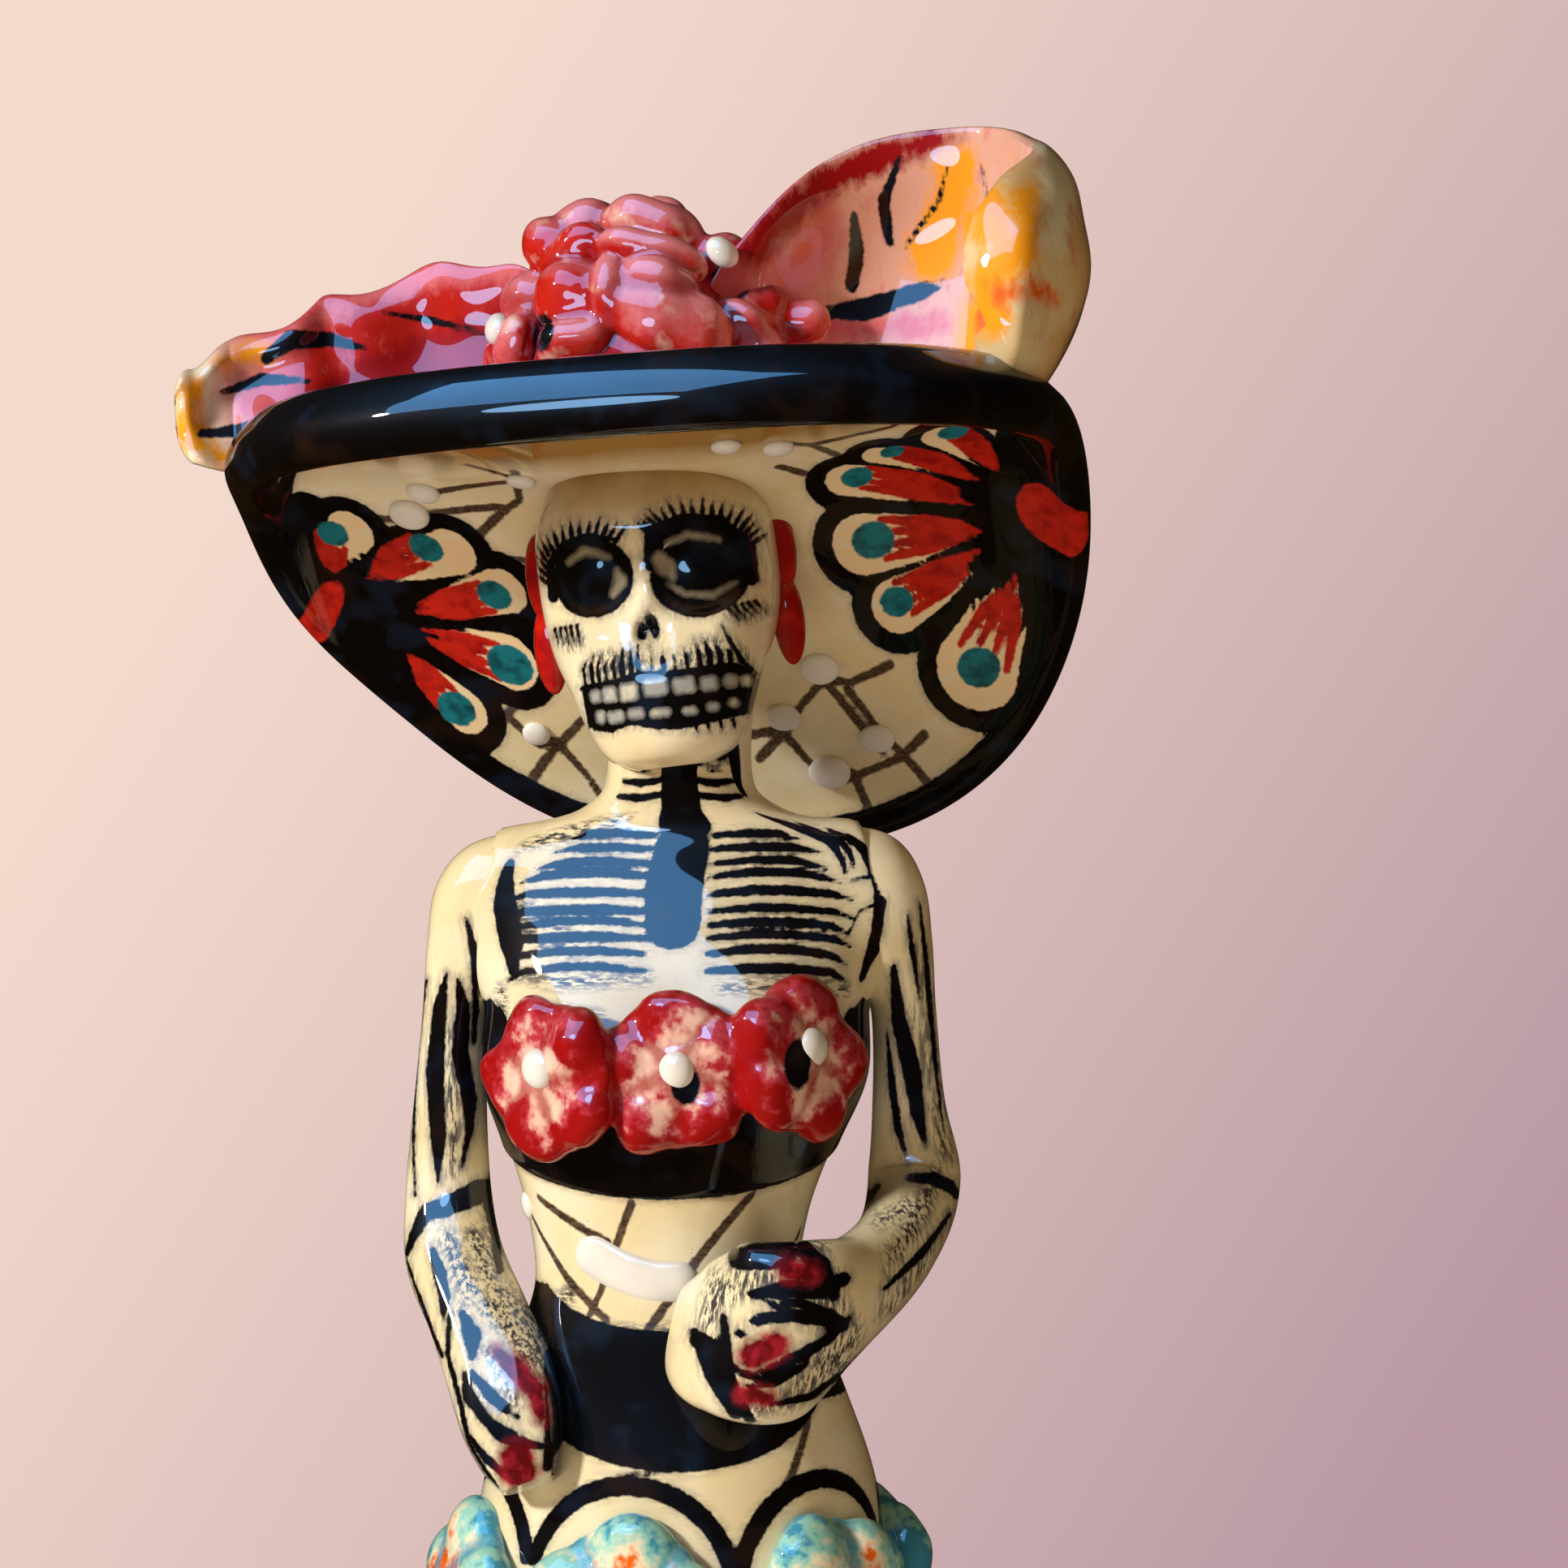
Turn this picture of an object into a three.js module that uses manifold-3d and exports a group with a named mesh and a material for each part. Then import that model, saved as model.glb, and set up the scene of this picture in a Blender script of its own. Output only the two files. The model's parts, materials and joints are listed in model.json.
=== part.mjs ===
// A glazed clay figure of a skeleton lady in a wide hat with plumes and flowers, fired in one piece.
// Millimetres, +Z up. She faces -Y and stands on the flat underside of her skirt.
// The underside's middle is the origin.
import * as THREE from "three";
import { LoftGeometry } from "three/addons/geometries/LoftGeometry.js";
import { mergeVertices } from "three/addons/utils/BufferGeometryUtils.js";
import Module from "manifold-3d";

const wasm = await Module();
wasm.setup();

// Driving sizes
const CROWN_HEIGHT = 276; // floor to the top of the skull
const HEM_WIDTH = 100; // skirt at the floor, side to side
const HEM_DEPTH = 92; // skirt at the floor, front to back
const HEM_BEAD = 1.2; // how far the rolled hem stands out of the skirt
const HIP_WIDTH = 52.8; // where the skirt's flowers sit
const HIP_DEPTH = 45;
const HAT_WIDTH = 106; // brim, side to side
const HAT_DEPTH = 96; // brim, front to back, measured level
const BRIM_THICKNESS = 3.4;
const LIP_THICKNESS = 6.8; // the roll along the brim's front edge
const BRIM_DISH = 8.5; // how far the brim rises from the skull's top to its edge
const BRIM_BACK_DROP = 55; // how far the back of the brim hangs lower than its front
const BRIM_FULLNESS = 4.5; // how much further the brim reaches behind her right ear
const LIP_CURL = 5; // how far the brim's edge rolls down, in front and at the sides
const HAT_CROWN_HEIGHT = 30.5; // from the skull's top to the top of the hat's crown
const HAT_CROWN_WIDTH = 34;
const HAT_CROWN_DEPTH = 31;
const PLUME_THICKNESS = 4.4;
const HAT_FLOWER_WIDTH = 21;
const BODICE_FLOWER_WIDTH = 20.5;
const SKIRT_FLOWER_WIDTH = 25;
const SKIRT_FLOWERS = 6; // flowers in the ring round the thighs
const NECK_WIDTH = 18.4;
const WAIST_WIDTH = 32.5;
const WAIST_DEPTH = 24.4;
const SHOULDER_WIDTH = 52;
const UPPER_ARM_WIDTH = 8;
const EARRING_LENGTH = 18;
const EARRING_WIDTH = 4;
const HEAD_YAW = -6; // degrees: she looks a little to her right
const HEAD_ROLL = -7; // degrees: and leans her head to the same side
const HAT_YAW = -13; // degrees: the hat sits further round
const HAT_ROLL = -3.5; // degrees

// The free forms below are drawn for a skull's top at 276, and grow and shrink with the figure.
const unit = CROWN_HEIGHT / 276;
const point = (x, y, z) => new THREE.Vector3(x, y, z).multiplyScalar(unit);
const drawn = (size) => size / unit; // a real size, as the drawing measures it
const half = (size) => drawn(size) / 2;
const STEP = 0.02; // a small step along a surface, to find its directions
const FRONT = -Math.PI / 2; // the angle that looks to -Y

// Reads a table of rows [position, value, value, ...] at a position, along a smooth curve.
function read(table, position) {
  const last = table.length - 1;
  const at = THREE.MathUtils.clamp(position, table[0][0], table[last][0]);
  let row = 0;
  while (row < last - 1 && at > table[row + 1][0]) row++;
  const rowAt = (index) => table[THREE.MathUtils.clamp(index, 0, last)];
  const [before, here, next, after] = [row - 1, row, row + 1, row + 2].map(rowAt);
  const span = next[0] - here[0];
  const share = (at - here[0]) / span;
  return here.slice(1).map((value, index) => {
    const column = index + 1;
    const leaving = ((next[column] - before[column]) / (next[0] - before[0])) * span;
    const arriving = ((after[column] - here[column]) / (after[0] - here[0])) * span;
    const change = next[column] - value;
    const bend = 3 * change - 2 * leaving - arriving;
    const twist = leaving + arriving - 2 * change;
    return value + share * (leaving + share * (bend + share * twist));
  });
}

const angles = (sides, turn = 0) =>
  Array.from({ length: sides }, (_, side) => ((side + turn) / sides) * 2 * Math.PI);
const steps = (first, last, count) =>
  Array.from({ length: count + 1 }, (_, step) => first + ((last - first) * step) / count);
const bell = (x, y, width, height) => Math.exp(-((x / width) ** 2) - (y / height) ** 2);

// A geometry as a solid that can be joined. Its faces are turned outwards if it was drawn inside out.
function solid(geometry, matrix = new THREE.Matrix4()) {
  const bare = new THREE.BufferGeometry()
    .setAttribute("position", geometry.attributes.position)
    .setIndex(geometry.index)
    .applyMatrix4(matrix);
  const merged = mergeVertices(bare, 1e-4);
  const corners = merged.index.array;
  const triangles = [];
  for (let i = 0; i < corners.length; i += 3) {
    const [a, b, c] = corners.slice(i, i + 3);
    if (a !== b && b !== c && c !== a) triangles.push(a, b, c);
  }
  const make = (faces) =>
    new wasm.Manifold(
      new wasm.Mesh({
        numProp: 3,
        vertProperties: merged.attributes.position.array,
        triVerts: new Uint32Array(faces),
      }),
    );
  const made = make(triangles);
  return made.volume() < 0 ? make(triangles.reverse()) : made;
}

const loft = (sections) => solid(new LoftGeometry(sections, { capStart: true, capEnd: true }));

// A ring: the sections run all the way round and the last one joins the first.
const ring = (sections) => solid(new LoftGeometry([...sections, sections[0]]));

// A limb: oval rings along a curve. Rows are [x, y, z, half width, half thickness].
// wide says which way the width lies.
function limb(rows, wide, rings, sides) {
  const curve = new THREE.CatmullRomCurve3(rows.map(([x, y, z]) => point(x, y, z)), false, "centripetal");
  const table = rows.map(([, , , width, thickness], row) => [row / (rows.length - 1), width, thickness]);
  return loft(
    steps(0, 1, rings).map((share) => {
      const centre = curve.getPoint(share);
      const along = curve.getTangent(share);
      const across = wide.clone().addScaledVector(along, -wide.dot(along)).normalize();
      const out = new THREE.Vector3().crossVectors(along, across);
      const [width, thickness] = read(table, share);
      return angles(sides).map((angle) =>
        centre
          .clone()
          .addScaledVector(across, Math.cos(angle) * width * unit)
          .addScaledVector(out, Math.sin(angle) * thickness * unit),
      );
    }),
  );
}

// Skirt, waist, chest and neck in one rising form.
// Rows are [height, half width, half depth, how far the middle is forward, and to her left].
const hip = half(HIP_WIDTH);
const hipFront = half(HIP_DEPTH);
const waist = half(WAIST_WIDTH);
const waistFront = half(WAIST_DEPTH);
const shoulder = half(SHOULDER_WIDTH);
const flared = (height, share, forward) => [
  height,
  THREE.MathUtils.lerp(hip, half(HEM_WIDTH), share),
  THREE.MathUtils.lerp(hipFront, half(HEM_DEPTH), share),
  forward,
  0,
];
const curved = (height, share, forward, aside) => [
  height,
  THREE.MathUtils.lerp(waist, hip, share),
  THREE.MathUtils.lerp(waistFront, hipFront, share),
  forward,
  aside,
];
const BODY = [
  flared(0, 1, 0),
  flared(6, 0.975, 0),
  flared(40, 0.715, 0),
  flared(80, 0.417, 0),
  flared(112, 0.189, 0.5),
  flared(138, 0, 1),
  curved(152, 0.75, 1, 0),
  curved(162, 0.48, 1.2, -0.4),
  curved(170, 0.15, 1.6, -1),
  curved(176, 0, 1.8, -1.4),
  [184, 17.2, 12.6, 2, -1.4],
  [192, 19.8, 14, 2.6, -1.1],
  [201, 23.2, 15, 3, -0.6],
  [210, 23.6, 13.6, 2.4, -0.3],
  [219, shoulder - 1.4, 11.6, 1, 0],
  [225, shoulder - 1.6, 9.8, 0, 0.3],
  [228.6, shoulder - 2.8, 9, 0, 0.8],
  [231.2, 19.4, 8.4, 0.1, 0.8],
  [233.2, 12.8, 8, 0.3, 0.3],
  [236.4, half(NECK_WIDTH), 7.8, 0.6, 0],
  [248, half(NECK_WIDTH), 7.6, 1, 0],
];
const BUST = { side: 11, height: 203, size: 9, swell: 4.6 };
const BEAD = { height: 3.5, size: 2.6 }; // the rolled hem

function bodyPoint(angle, height) {
  const [width, depth, forward, aside] = read(BODY, height);
  const x = width * Math.cos(angle);
  const [right, left] = [-BUST.side, BUST.side].map((side) =>
    bell(x - side, height - BUST.height, BUST.size, BUST.size),
  );
  const swell = BUST.swell * (right + left) * Math.max(0, -Math.sin(angle));
  return point(x + aside, depth * Math.sin(angle) - forward - swell, height);
}

// The way out of the body at an angle and a height.
function bodyNormal(angle, height) {
  const around = bodyPoint(angle + STEP, height).sub(bodyPoint(angle - STEP, height));
  const up = bodyPoint(angle, height + 1).sub(bodyPoint(angle, height - 1));
  return around.cross(up).normalize();
}

function body() {
  const heights = [0, 1.5, 4, 7, 30, 60, 90, 114, 132, 145, 155, 163, 170, 176, 184, 192]
    .concat([200, 206, 212, 218.5, 224, 228, 230.4, 232, 233.8, 237, 248]);
  return loft(
    heights.map((height) => {
      const bead = HEM_BEAD * bell(height - BEAD.height, 0, BEAD.size, 1);
      return angles(28, 0.5).map((angle) => {
        const spot = bodyPoint(angle, height);
        spot.x += bead * Math.cos(angle);
        spot.y += bead * Math.sin(angle);
        return spot;
      });
    }),
  );
}

// Both arms end in mitten hands that rest on the skirt and on the waist.
const arm = half(UPPER_ARM_WIDTH);
const HANGING_ARM = [
  [-shoulder + 4.6, 0.4, 228.4, 1.6, 2],
  [-shoulder + 2.6, 0.5, 226.8, 4.4, 4.2],
  [-shoulder + 0.6, 0.7, 223, 5, 5.2],
  [-shoulder - 0.6, 0.8, 217, arm + 0.6, 5],
  [-shoulder - 1.8, 1, 208, arm, 4.4],
  [-shoulder - 2.4, 1.4, 197, arm + 0.5, 4.6],
  [-shoulder - 2.6, 1, 186, arm + 1.3, 5],
  [-shoulder - 1.6, -2.6, 178.4, 6, 5.2],
  [-shoulder + 1.6, -8, 172, 6.1, 4.8],
  [-hip + 5, -hipFront + 9.9, 165.4, 6.5, 5],
  [-hip + 6.6, -hipFront + 7, 160, 6.1, 4.9],
  [-hip + 7.8, -hipFront + 5, 155.6, 4.8, 4],
  [-hip + 8.4, -hipFront + 4, 152.6, 2.4, 2.2],
];
const BENT_ARM = [
  [shoulder - 4.6, 0.4, 228.4, 1.6, 2],
  [shoulder - 2.8, 0.5, 226.8, 4.4, 4.2],
  [shoulder - 0.8, 0.7, 223, 5, 5.2],
  [shoulder + 0.5, 0.8, 217, arm + 0.6, 5],
  [shoulder + 1.6, 1, 208, arm, 4.4],
  [shoulder + 2.2, 1.4, 197, arm + 0.5, 4.8],
  [shoulder + 2.8, 0, 187, 6, 5.6],
  [shoulder + 0.4, -8, 180.6, 6.2, 5.2],
  [shoulder - 4.8, -16.4, 176, 7.2, 5.2],
  [16, -waistFront - 10.4, 173.6, 9.6, 5.6],
  [10.4, -waistFront - 12.6, 171.4, 10.8, 5.2],
  [5, -waistFront - 9.2, 169.6, 8.4, 4.6],
  [2, -waistFront - 3.8, 169.6, 5, 3],
];

function arms() {
  const sideways = new THREE.Vector3(1, 0, 0);
  const upright = new THREE.Vector3(0.35, 0, 1).normalize();
  return [limb(HANGING_ARM, sideways, 17, 9), limb(BENT_ARM, upright, 18, 9)];
}

// A five-petalled clay flower facing +Z: round petals parted by valleys, round a middle dome.
// Rows are [share of the half width, height as a share of the width, how deep the valleys cut in].
const PETALS = 5;
const PETAL_ROUNDNESS = 0.7; // under 1 makes the petals rounder and the gaps between them sharper
const FLOWER_RINGS = [
  [0.66, -0.16, 0.3],
  [1, -0.03, 0.34],
  [0.84, 0.11, 0.3],
  [0.29, 0.06, 0],
  [0.18, 0.17, 0],
];
function flower(width, turn, place) {
  const sections = FLOWER_RINGS.map(([share, height, valley]) =>
    angles(4 * PETALS).map((angle) => {
      const petal = Math.abs(Math.cos((angle * PETALS) / 2)) ** PETAL_ROUNDNESS;
      const reach = (width / 2) * share * (1 - valley * (1 - petal));
      const across = reach * Math.cos(angle + turn);
      return new THREE.Vector3(across, reach * Math.sin(angle + turn), height * width);
    }),
  );
  return loft(sections.map((section) => section.map((spot) => spot.applyMatrix4(place))));
}

// A place that faces along a direction, for what sits on a surface.
function facing(centre, direction) {
  const up = new THREE.Vector3(0, 0, 1);
  const turn = new THREE.Quaternion().setFromUnitVectors(up, direction.clone().normalize());
  return new THREE.Matrix4().compose(centre, turn, new THREE.Vector3(1, 1, 1));
}

// Rows are [angle from the front in radians, height, turn].
const BODICE_FLOWERS = [
  [-0.64, 201.4, 0],
  [0.02, 202, 0.37],
  [0.67, 203.6, 0.74],
];
const SKIRT_RING = { height: 137.5, turn: -0.24 }; // its first flower is a little to her right

function bodyFlower(width, angle, height, turn) {
  const place = facing(bodyPoint(FRONT + angle, height), bodyNormal(FRONT + angle, height));
  return flower(width, turn, place);
}

function bodyFlowers() {
  const bodice = BODICE_FLOWERS.map((row) => bodyFlower(BODICE_FLOWER_WIDTH, ...row));
  const skirt = angles(SKIRT_FLOWERS).map((angle, index) =>
    bodyFlower(SKIRT_FLOWER_WIDTH, angle + SKIRT_RING.turn, SKIRT_RING.height, index * 0.3),
  );
  return [...bodice, ...skirt];
}

// Head and hat are drawn in their own frame, whose origin is the top of the skull, and are then
// leaned and turned. The skull's rows are [height, half width, Y in front, Y behind].
const SKULL = [
  [-37.5, 4.6, -11.6, -3],
  [-36, 7.6, -13.4, -1],
  [-32.5, 9.8, -14.4, 2],
  [-28, 11.4, -14.8, 5],
  [-23, 13.4, -14.2, 9.4],
  [-18, 14.5, -13.6, 13],
  [-12, 14.8, -13.8, 14.6],
  [-7, 14.4, -14, 14.8],
  [-3, 12.8, -12.6, 13.6],
  [2, 10, -9, 11],
];
// Relief of the face. Rows are [from the middle, height, how wide, how tall, depth].
// A depth under 0 stands out.
const FACE = [
  [-6.4, -14.4, 4.3, 4, 2.8],
  [6.4, -14.4, 4.3, 4, 2.8],
  [0, -9.4, 9, 2.6, -0.5],
  [0, -17, 1.8, 4, -1.5],
  [0, -21, 1.6, 2.2, 2.2],
  [-9.6, -21, 3, 2.6, -1],
  [9.6, -21, 3, 2.6, -1],
  [0, -28.5, 7.5, 5, -1],
  [0, -35, 4, 2.4, -0.7],
];
const SQUARENESS = 0.84; // under 1 makes the skull's sections squarer than ovals
const FACE_CROWDING = 0.42; // how much closer the sections' points lie over the face than behind

function skullPoint(angle, height) {
  const [width, front, back] = read(SKULL, height);
  const [side, out] = [Math.cos(angle), Math.sin(angle)];
  const x = width * Math.sign(side) * Math.abs(side) ** SQUARENESS;
  const y = (front + back) / 2 + ((back - front) / 2) * Math.sign(out) * Math.abs(out) ** SQUARENESS;
  const relief = FACE.reduce(
    (sum, [across, up, wide, tall, depth]) => sum + depth * bell(x - across, height - up, wide, tall),
    0,
  );
  return point(x, y - relief * Math.min(0, out), height);
}

function skull() {
  const heights = [-37.5, -36.2, -33.6, -30.6, -27.6, -25, -22.8, -20.8, -18.6]
    .concat([-16.6, -14.4, -12.2, -10, -7, -3, 2]);
  const spread = angles(28, 0.5).map((turn) => turn - FRONT + FACE_CROWDING * Math.sin(turn));
  return loft(heights.map((height) => spread.map((angle) => skullPoint(angle, height))));
}

const EAR = { height: -16.5, angle: 0.16 }; // a little behind the middle of the skull's side

// Two long beads, one under the other, that overlap a little.
function earring(side) {
  const drop = EARRING_LENGTH / 4;
  const bead = EARRING_LENGTH * 0.62;
  const ear = skullPoint(side > 0 ? EAR.angle : Math.PI - EAR.angle, EAR.height);
  return [drop, -drop].map((up) =>
    solid(
      new THREE.SphereGeometry(EARRING_WIDTH / 2, 6, 5),
      new THREE.Matrix4()
        .makeScale(1, 1, bead / EARRING_WIDTH)
        .setPosition(ear.x + (side * EARRING_WIDTH) / 8, ear.y, ear.z + up),
    ),
  );
}

// The brim's middle surface, by an angle and a share of the way out: 0 at the skull, 1 at the edge.
// It rises outwards like a dish and slopes down behind the head.
// Its edge rolls down in front and at the sides.
const LIP_START = 0.84; // share of the brim where it begins to roll
const LIP_TUCK = 0.03; // how far the roll turns in again, as a share of the way out
const FACES_END = 0.985; // share of the brim where its rounded edge begins
const BEND_SOFTNESS = 10; // how gently the slope begins over the ears
const BRIM_SQUARENESS = 2.35; // 2 is an oval; more fills out its corners
const brimReach = half(HAT_WIDTH - BRIM_THICKNESS);
const brimDepth = half(HAT_DEPTH - BRIM_THICKNESS);
const brimSlope = drawn(BRIM_BACK_DROP) / brimDepth;
const FULLNESS_ANGLE = 2.94; // the middle of the fuller stretch, in radians
const FULLNESS_SPREAD = 0.33;
const rolled = (out) => Math.max(0, (out - LIP_START) / (1 - LIP_START)) ** 2;

// 0 behind and 1 in front, with the change between two values of how far forward an angle is.
const frontness = (angle, from, to) => THREE.MathUtils.smoothstep(-Math.sin(angle), from, to);

// How far the edge lies from the middle in a direction.
function edgeReach(angle) {
  const side = Math.abs(Math.cos(angle)) / brimReach;
  const back = Math.abs(Math.sin(angle)) / brimDepth;
  const oval = (side ** BRIM_SQUARENESS + back ** BRIM_SQUARENESS) ** (-1 / BRIM_SQUARENESS);
  const away = THREE.MathUtils.euclideanModulo(angle, 2 * Math.PI) - FULLNESS_ANGLE;
  return oval + drawn(BRIM_FULLNESS) * bell(away, 0, FULLNESS_SPREAD, 1);
}

function brimMiddle(angle, out) {
  const reach = out * edgeReach(angle);
  const behind = reach * Math.sin(angle);
  const slope = (brimSlope * (behind + Math.hypot(behind, drawn(BEND_SOFTNESS)))) / 2;
  const curl = drawn(LIP_CURL) * frontness(angle, -0.6, 0.1) * rolled(out);
  const inward = reach * (1 - LIP_TUCK * rolled(out));
  const height = drawn(BRIM_DISH) * out - slope - curl;
  return point(inward * Math.cos(angle), inward * Math.sin(angle), height);
}

// Half the brim's thickness: the edge swells into a roll in front.
function brimHalf(angle, out) {
  const swell = THREE.MathUtils.smoothstep(out, 0.76, 0.94) * frontness(angle, -0.5, 0.35);
  return (BRIM_THICKNESS + (LIP_THICKNESS - BRIM_THICKNESS) * swell) / 2;
}

function brimNormal(angle, out) {
  const inner = Math.min(out, 1 - STEP);
  const outward = brimMiddle(angle, inner + STEP).sub(brimMiddle(angle, inner - STEP));
  const around = brimMiddle(angle + STEP, inner).sub(brimMiddle(angle - STEP, inner));
  return outward.cross(around).normalize();
}

// The height of the brim's middle surface under a place on it; past its edge, the height of the edge.
function brimHeight(x, y) {
  const angle = Math.atan2(y, x);
  return brimMiddle(angle, Math.min(1, Math.hypot(x, y) / edgeReach(angle))).z / unit;
}

// The brim's section at an angle runs out along the underside, round the edge and back along the top.
function brim() {
  const shares = [0.14, 0.45, 0.7, 0.84, 0.93, FACES_END];
  const edge = [-60, -20, 20, 60].map(THREE.MathUtils.degToRad);
  return ring(
    angles(40).map((angle) => {
      const face = (side) => (out) =>
        brimMiddle(angle, out).addScaledVector(brimNormal(angle, out), side * brimHalf(angle, out));
      const outward = brimMiddle(angle, 1).sub(brimMiddle(angle, 1 - STEP)).normalize();
      const round = edge.map((turn) =>
        brimMiddle(angle, 1)
          .addScaledVector(brimNormal(angle, 1), Math.sin(turn) * brimHalf(angle, 1))
          .addScaledVector(outward, Math.cos(turn) * brimHalf(angle, 1)),
      );
      return [...shares.map(face(-1)), ...round, ...shares.toReversed().map(face(1))];
    }),
  );
}

// The hat's crown is a dome over the brim. rise is 0 at the brim and 1 on top.
const CROWN_AT = [-3, 4]; // its middle, from the middle of the brim
const CROWN_ROUNDNESS = 2.5; // 2 is half a ball; more makes the sides steeper and the top flatter
function crownPoint(angle, rise) {
  const share = Math.sqrt(1 - rise ** CROWN_ROUNDNESS);
  const x = CROWN_AT[0] + half(HAT_CROWN_WIDTH) * share * Math.cos(angle);
  const y = CROWN_AT[1] + half(HAT_CROWN_DEPTH) * share * Math.sin(angle);
  return point(x, y, THREE.MathUtils.lerp(brimHeight(x, y), drawn(HAT_CROWN_HEIGHT), rise));
}

function hatCrown() {
  const rises = [0, 0.3, 0.55, 0.75, 0.9, 0.99];
  return loft(rises.map((rise) => angles(14).map((angle) => crownPoint(angle, rise))));
}

// A plume: a thick hollowed sheet of clay standing on the brim.
// Rows are [x, y, lift, top, lean]: x and y are shares of the brim's half sizes, lift is how far
// its foot stands above the brim, and top is its height above the skull's top.
const PLUME_SINK = 1.5; // how deep its foot sits in the brim
const PLUME_HOLLOW = 0.16; // how hollow its face is, as a share of its height
const RUFFLES = 4; // waves along its top
function plume(rows, sections, ruffle) {
  const table = rows.map((row, index) => [index / (rows.length - 1), ...row]);
  const spot = (share) => {
    const [x, y, lift, top, lean] = read(table, THREE.MathUtils.clamp(share, 0, 1));
    return { x: x * brimReach, y: y * brimDepth, lift, top, lean };
  };
  return loft(
    steps(0, 1, sections).map((share) => {
      const { x, y, lift, top, lean } = spot(share);
      const [ahead, behind] = [spot(share + STEP), spot(share - STEP)];
      const along = new THREE.Vector3(ahead.x - behind.x, ahead.y - behind.y, 0).normalize();
      const out = new THREE.Vector3(-along.y, along.x, 0);
      const foot = brimHeight(x, y) + lift - drawn(PLUME_SINK);
      const tall = (top - foot + ruffle * Math.cos(share * RUFFLES * 2 * Math.PI)) * unit;
      const up = new THREE.Vector3(0, 0, 1).addScaledVector(out, -lean).normalize();
      return angles(10, 0.5).map((angle) => {
        const rise = 0.5 + 0.5 * Math.sin(angle);
        const hollow = PLUME_HOLLOW * tall * (1 - (2 * rise - 1) ** 2);
        return point(x, y, foot)
          .addScaledVector(up, rise * tall)
          .addScaledVector(out, (PLUME_THICKNESS / 2) * Math.cos(angle) - hollow);
      });
    }),
  );
}
const SWEPT_PLUME = [
  [-0.22, -0.04, 0, 27, 0.2],
  [-0.43, -0.13, 0, 30, 0.4],
  [-0.6, -0.19, 0, 29.5, 0.55],
  [-0.76, -0.26, 0, 27, 0.6],
  [-0.9, -0.3, 0.5, 23, 0.6],
  [-1.03, -0.35, 2.5, 18.5, 0.45],
  [-1.12, -0.38, 5.5, 13.5, 0.3],
];
const CURLED_PLUME = [
  [0.82, -0.43, 0, 18.5, -0.1],
  [0.9, -0.35, 0, 24.5, 0],
  [0.93, -0.19, 0, 31, 0.1],
  [0.86, -0.04, 0, 36.5, 0.2],
  [0.68, 0.04, 0, 41.5, 0.25],
  [0.47, 0.02, 0, 38.5, 0.2],
  [0.25, -0.06, 0, 27.5, 0.1],
  [0.1, -0.11, 0, 18, 0.1],
];

// Flowers on the crown. Rows are [angle, rise, turn, share of the full width].
const HAT_FLOWERS = [
  [-2.2, 0.97, 0.1, 1.12],
  [-0.72, 0.74, 0.4, 1],
  [-2.25, 0.58, 0, 0.95],
  [-1.4, 0.5, 0.25, 0.8],
  [1.7, 0.55, 0.2, 1],
];

function hatTrim() {
  const flowers = HAT_FLOWERS.map(([angle, rise, turn, share]) => {
    const around = crownPoint(angle + STEP, rise).sub(crownPoint(angle - STEP, rise));
    const up = crownPoint(angle, rise + STEP).sub(crownPoint(angle, rise - STEP));
    return flower(HAT_FLOWER_WIDTH * share, turn, facing(crownPoint(angle, rise), around.cross(up)));
  });
  return [plume(SWEPT_PLUME, 14, 0.9), plume(CURLED_PLUME, 15, 0), ...flowers];
}

// Turns what is drawn round the top of the skull about the top of the neck.
const NECK_TOP = point(0.2, -1, 240);
const SKULL_TOP = new THREE.Vector3(0, 0, CROWN_HEIGHT);
function leaned(yaw, roll) {
  const lean = new THREE.Matrix4()
    .makeRotationZ(THREE.MathUtils.degToRad(yaw))
    .multiply(new THREE.Matrix4().makeRotationY(THREE.MathUtils.degToRad(roll)));
  return new THREE.Matrix4()
    .makeTranslation(NECK_TOP)
    .multiply(lean)
    .multiply(new THREE.Matrix4().makeTranslation(SKULL_TOP.clone().sub(NECK_TOP)));
}

function figure() {
  const head = wasm.Manifold.union([skull(), ...earring(-1), ...earring(1)]);
  const hat = wasm.Manifold.union([brim(), hatCrown(), ...hatTrim()]);
  return wasm.Manifold.union([
    body(),
    ...arms(),
    ...bodyFlowers(),
    head.transform(leaned(HEAD_YAW, HEAD_ROLL).elements),
    hat.transform(leaned(HAT_YAW, HAT_ROLL).elements),
  ]);
}

function geometryOf(manifold) {
  const mesh = manifold.getMesh();
  return new THREE.BufferGeometry()
    .setAttribute("position", new THREE.BufferAttribute(new Float32Array(mesh.vertProperties), 3))
    .setIndex(new THREE.BufferAttribute(mesh.triVerts, 1));
}

const glazedClay = new THREE.MeshStandardMaterial({ color: 0xe6dcb4, roughness: 0.15, metalness: 0 });
const lady = new THREE.Mesh(geometryOf(figure()), glazedClay);
lady.name = "skeleton_figure";

const part = new THREE.Group();
part.add(lady);

export default part;
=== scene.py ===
# %% [markdown]
# # A skeleton lady in glazed clay
# She is a hand-modelled figure that is brushed with slips and fired in one piece under a clear glaze.
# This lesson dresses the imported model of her. It keeps every size of the frame and makes the fine
# surfaces, the relief and the painted pattern that the plain model leaves out.

# %% The frame
import json
import math

import bmesh
import bpy
import numpy as np
from mathutils import Matrix, Vector

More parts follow.
